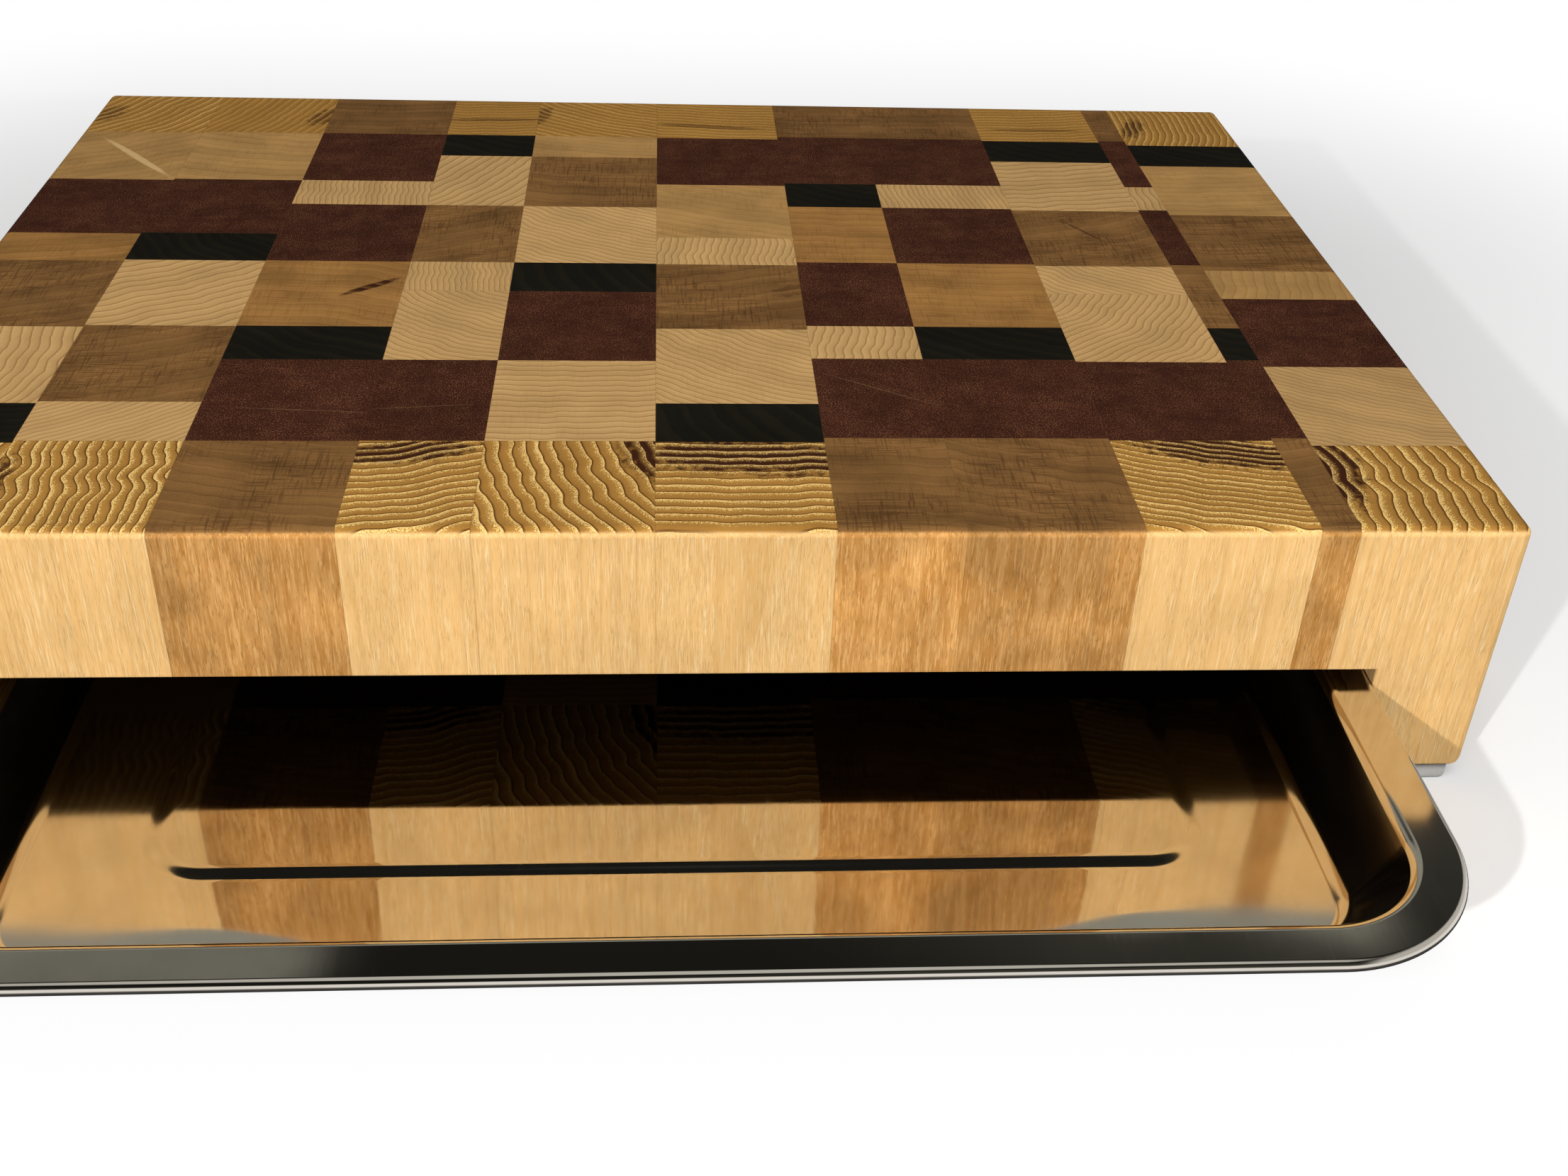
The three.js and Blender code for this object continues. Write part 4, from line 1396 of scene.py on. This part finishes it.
class BLOCK_OT_stage(bpy.types.Operator):
    """Sets up the floor, the background, the lamps and the camera"""
    bl_idname = "block.stage"
    bl_label = "Set up the studio"

    def execute(self, context):
        settings = context.scene.stage_settings
        self.add_floor(settings)
        self.light_background(context.scene, settings)
        low, high = CAD_BOUNDS
        for name, lamp in LAMPS.items():
            area_lamp(name, lamp, getattr(settings, name + "_power"), (low + high) / 2)
        self.add_camera(context.scene, settings)
        context.scene.view_settings.view_transform = "Standard"
        return {"FINISHED"}

    def add_floor(self, settings):
        shape = bmesh.new()
        bmesh.ops.create_circle(shape, cap_ends=True, segments=FLOOR_SEGMENTS, radius=settings.floor_radius)
        mesh = bpy.data.meshes.new("floor")
        shape.to_mesh(mesh)
        shape.free()
        mesh.materials.append(self.floor_material(settings))
        floor = bpy.data.objects.new("floor", mesh)
        floor.location.z = CAD_BOUNDS[0].z - TOUCH
        bpy.context.scene.collection.objects.link(floor)

    def floor_material(self, settings):
        """Matt, but glowing white for the camera far out and for the steel right round the object."""
        roughness, specular = 0.7, 0.1
        material, nodes, shader = new_material("pale_floor")
        straight, mirrored = backdrop_rays(nodes)
        # Away from the camera the floor takes the darker bounce colour for matt light, and the painted
        # contact shade for the steel's mirrored rays
        bounce_or_painted_shade = nodes.mix(mirrored, settings.bounce, settings.painted_contact_shade)
        nodes.feed(shader.inputs["Base Color"], nodes.mix(straight, bounce_or_painted_shade, settings.floor))
        shader.inputs["Roughness"].default_value = roughness
        shader.inputs["Specular IOR Level"].default_value = specular
        glow = nodes.add("Emission", {"Color": (1.0, 1.0, 1.0, 1.0), "Strength": 1.0})

        # How far a place lies outside the rectangle under the object, and how far back it lies
        low, high = CAD_BOUNDS
        place = nodes.add("TexCoord").outputs["Object"]
        beyond = nodes.vector("SUBTRACT", nodes.vector("ABSOLUTE", place), (high.x, high.y, 0.0))
        away = nodes.vector("LENGTH", nodes.vector("MAXIMUM", beyond, (0.0, 0.0, 0.0)))
        back = nodes.split(place)[1]

        under = low.y + settings.mirror_start
        beside = nodes.smooth(back, under, under + settings.mirror_start,
                              settings.front_glow, settings.floor_glow)
        shown = nodes.smooth(away, 0.0, settings.floor_fade, beside, 1.0)
        seen = nodes.product(nodes.smooth(away, settings.mirror_start, settings.mirror_end),
                             nodes.falling(back, high.y, high.y + settings.mirror_end))
        share = nodes.math("MULTIPLY_ADD", mirrored, seen, nodes.math("MULTIPLY", straight, shown))
        both = nodes.add("MixShader", {0: share, 1: shader.outputs[0], 2: glow.outputs[0]})
        output = next(n for n in material.node_tree.nodes if n.type == "OUTPUT_MATERIAL")
        nodes.feed(output.inputs["Surface"], both.outputs[0])
        return material

    def light_background(self, scene, settings):
        """White for the camera, a dark room over a white horizon for the steel, even light for the rest."""
        turn_to_back = (-0.5, 0.5)
        scene.world = bpy.data.worlds.new("studio")
        scene.world.use_nodes = True
        scene.world.node_tree.nodes.clear()
        nodes = Nodes(scene.world.node_tree)
        direction = nodes.add("TexCoord").outputs["Generated"]
        parts = nodes.group(room(), Direction=direction)
        shade = nodes.layered(
            settings.overhead,
            (parts["Patches"], settings.glimmer),
            (parts["Haze"], settings.haze),
            (parts["Pale"], settings.pale_room),
            (parts["Horizon"], settings.horizon))
        straight, mirrored = backdrop_rays(nodes)
        seen = nodes.add("Background", {
            "Color": nodes.mix(straight, shade, settings.horizon), "Strength": 1.0})
        strength = nodes.smooth(nodes.split(direction)[1], *turn_to_back,
                                settings.ambient, settings.ambient_back)
        even = nodes.add("Background", {"Color": (1.0, 1.0, 1.0, 1.0), "Strength": strength})
        either = nodes.math("ADD", straight, mirrored)
        both = nodes.add("MixShader", {0: either, 1: even.outputs[0], 2: seen.outputs[0]})
        nodes.add("OutputWorld", {"Surface": both.outputs[0]})

    def add_camera(self, scene, settings):
        data = bpy.data.cameras.new("photo_view")
        data.sensor_fit = "HORIZONTAL"
        data.sensor_width = SENSOR_MM
        data.lens = FOCAL_LENGTH_PX / IMAGE_WIDTH_PX * SENSOR_MM
        data.clip_start = 10 * MM
        camera = bpy.data.objects.new("photo_view", data)
        camera.location = settings.camera_place
        camera.rotation_euler = Euler(settings.camera_turn)
        scene.collection.objects.link(camera)
        scene.camera = camera


class VIEW3D_PT_butcher_block(bpy.types.Panel):
    """Lists the steps that build the butcher block"""
    bl_label = "Butcher block"
    bl_space_type = "VIEW_3D"
    bl_region_type = "UI"
    bl_category = "Butcher block"

    def draw(self, context):
        for operator in OPERATORS:
            self.layout.operator(operator.bl_idname)
        for name in SETTINGS:
            group = getattr(context.scene, name)
            box = self.layout.box()
            for key in group.bl_rna.properties.keys():
                if key not in {"rna_type", "name"}:
                    box.prop(group, key)


OPERATORS = (BLOCK_OT_mosaic, BLOCK_OT_rails, BLOCK_OT_foot_strips, BLOCK_OT_tray, BLOCK_OT_stage)

SETTINGS = {
    "block_settings": BlockSettings,
    "tray_settings": TraySettings,
    "small_part_settings": SmallPartSettings,
    "stage_settings": StageSettings,
    **{"block_" + wood: settings for wood, settings in WOOD_SETTINGS.items()},
}


def register():
    for cls in (*SETTINGS.values(), *OPERATORS, VIEW3D_PT_butcher_block):
        bpy.utils.register_class(cls)
    for name, cls in SETTINGS.items():
        setattr(bpy.types.Scene, name, bpy.props.PointerProperty(type=cls))


def unregister():
    for name in SETTINGS:
        delattr(bpy.types.Scene, name)
    for cls in (VIEW3D_PT_butcher_block, *OPERATORS[::-1], *SETTINGS.values()):
        bpy.utils.unregister_class(cls)


def main():
    register()
    bpy.ops.block.mosaic()
    bpy.ops.block.rails()
    bpy.ops.block.foot_strips()
    bpy.ops.block.tray()
    bpy.ops.block.stage()


if __name__ == "__main__":
    main()
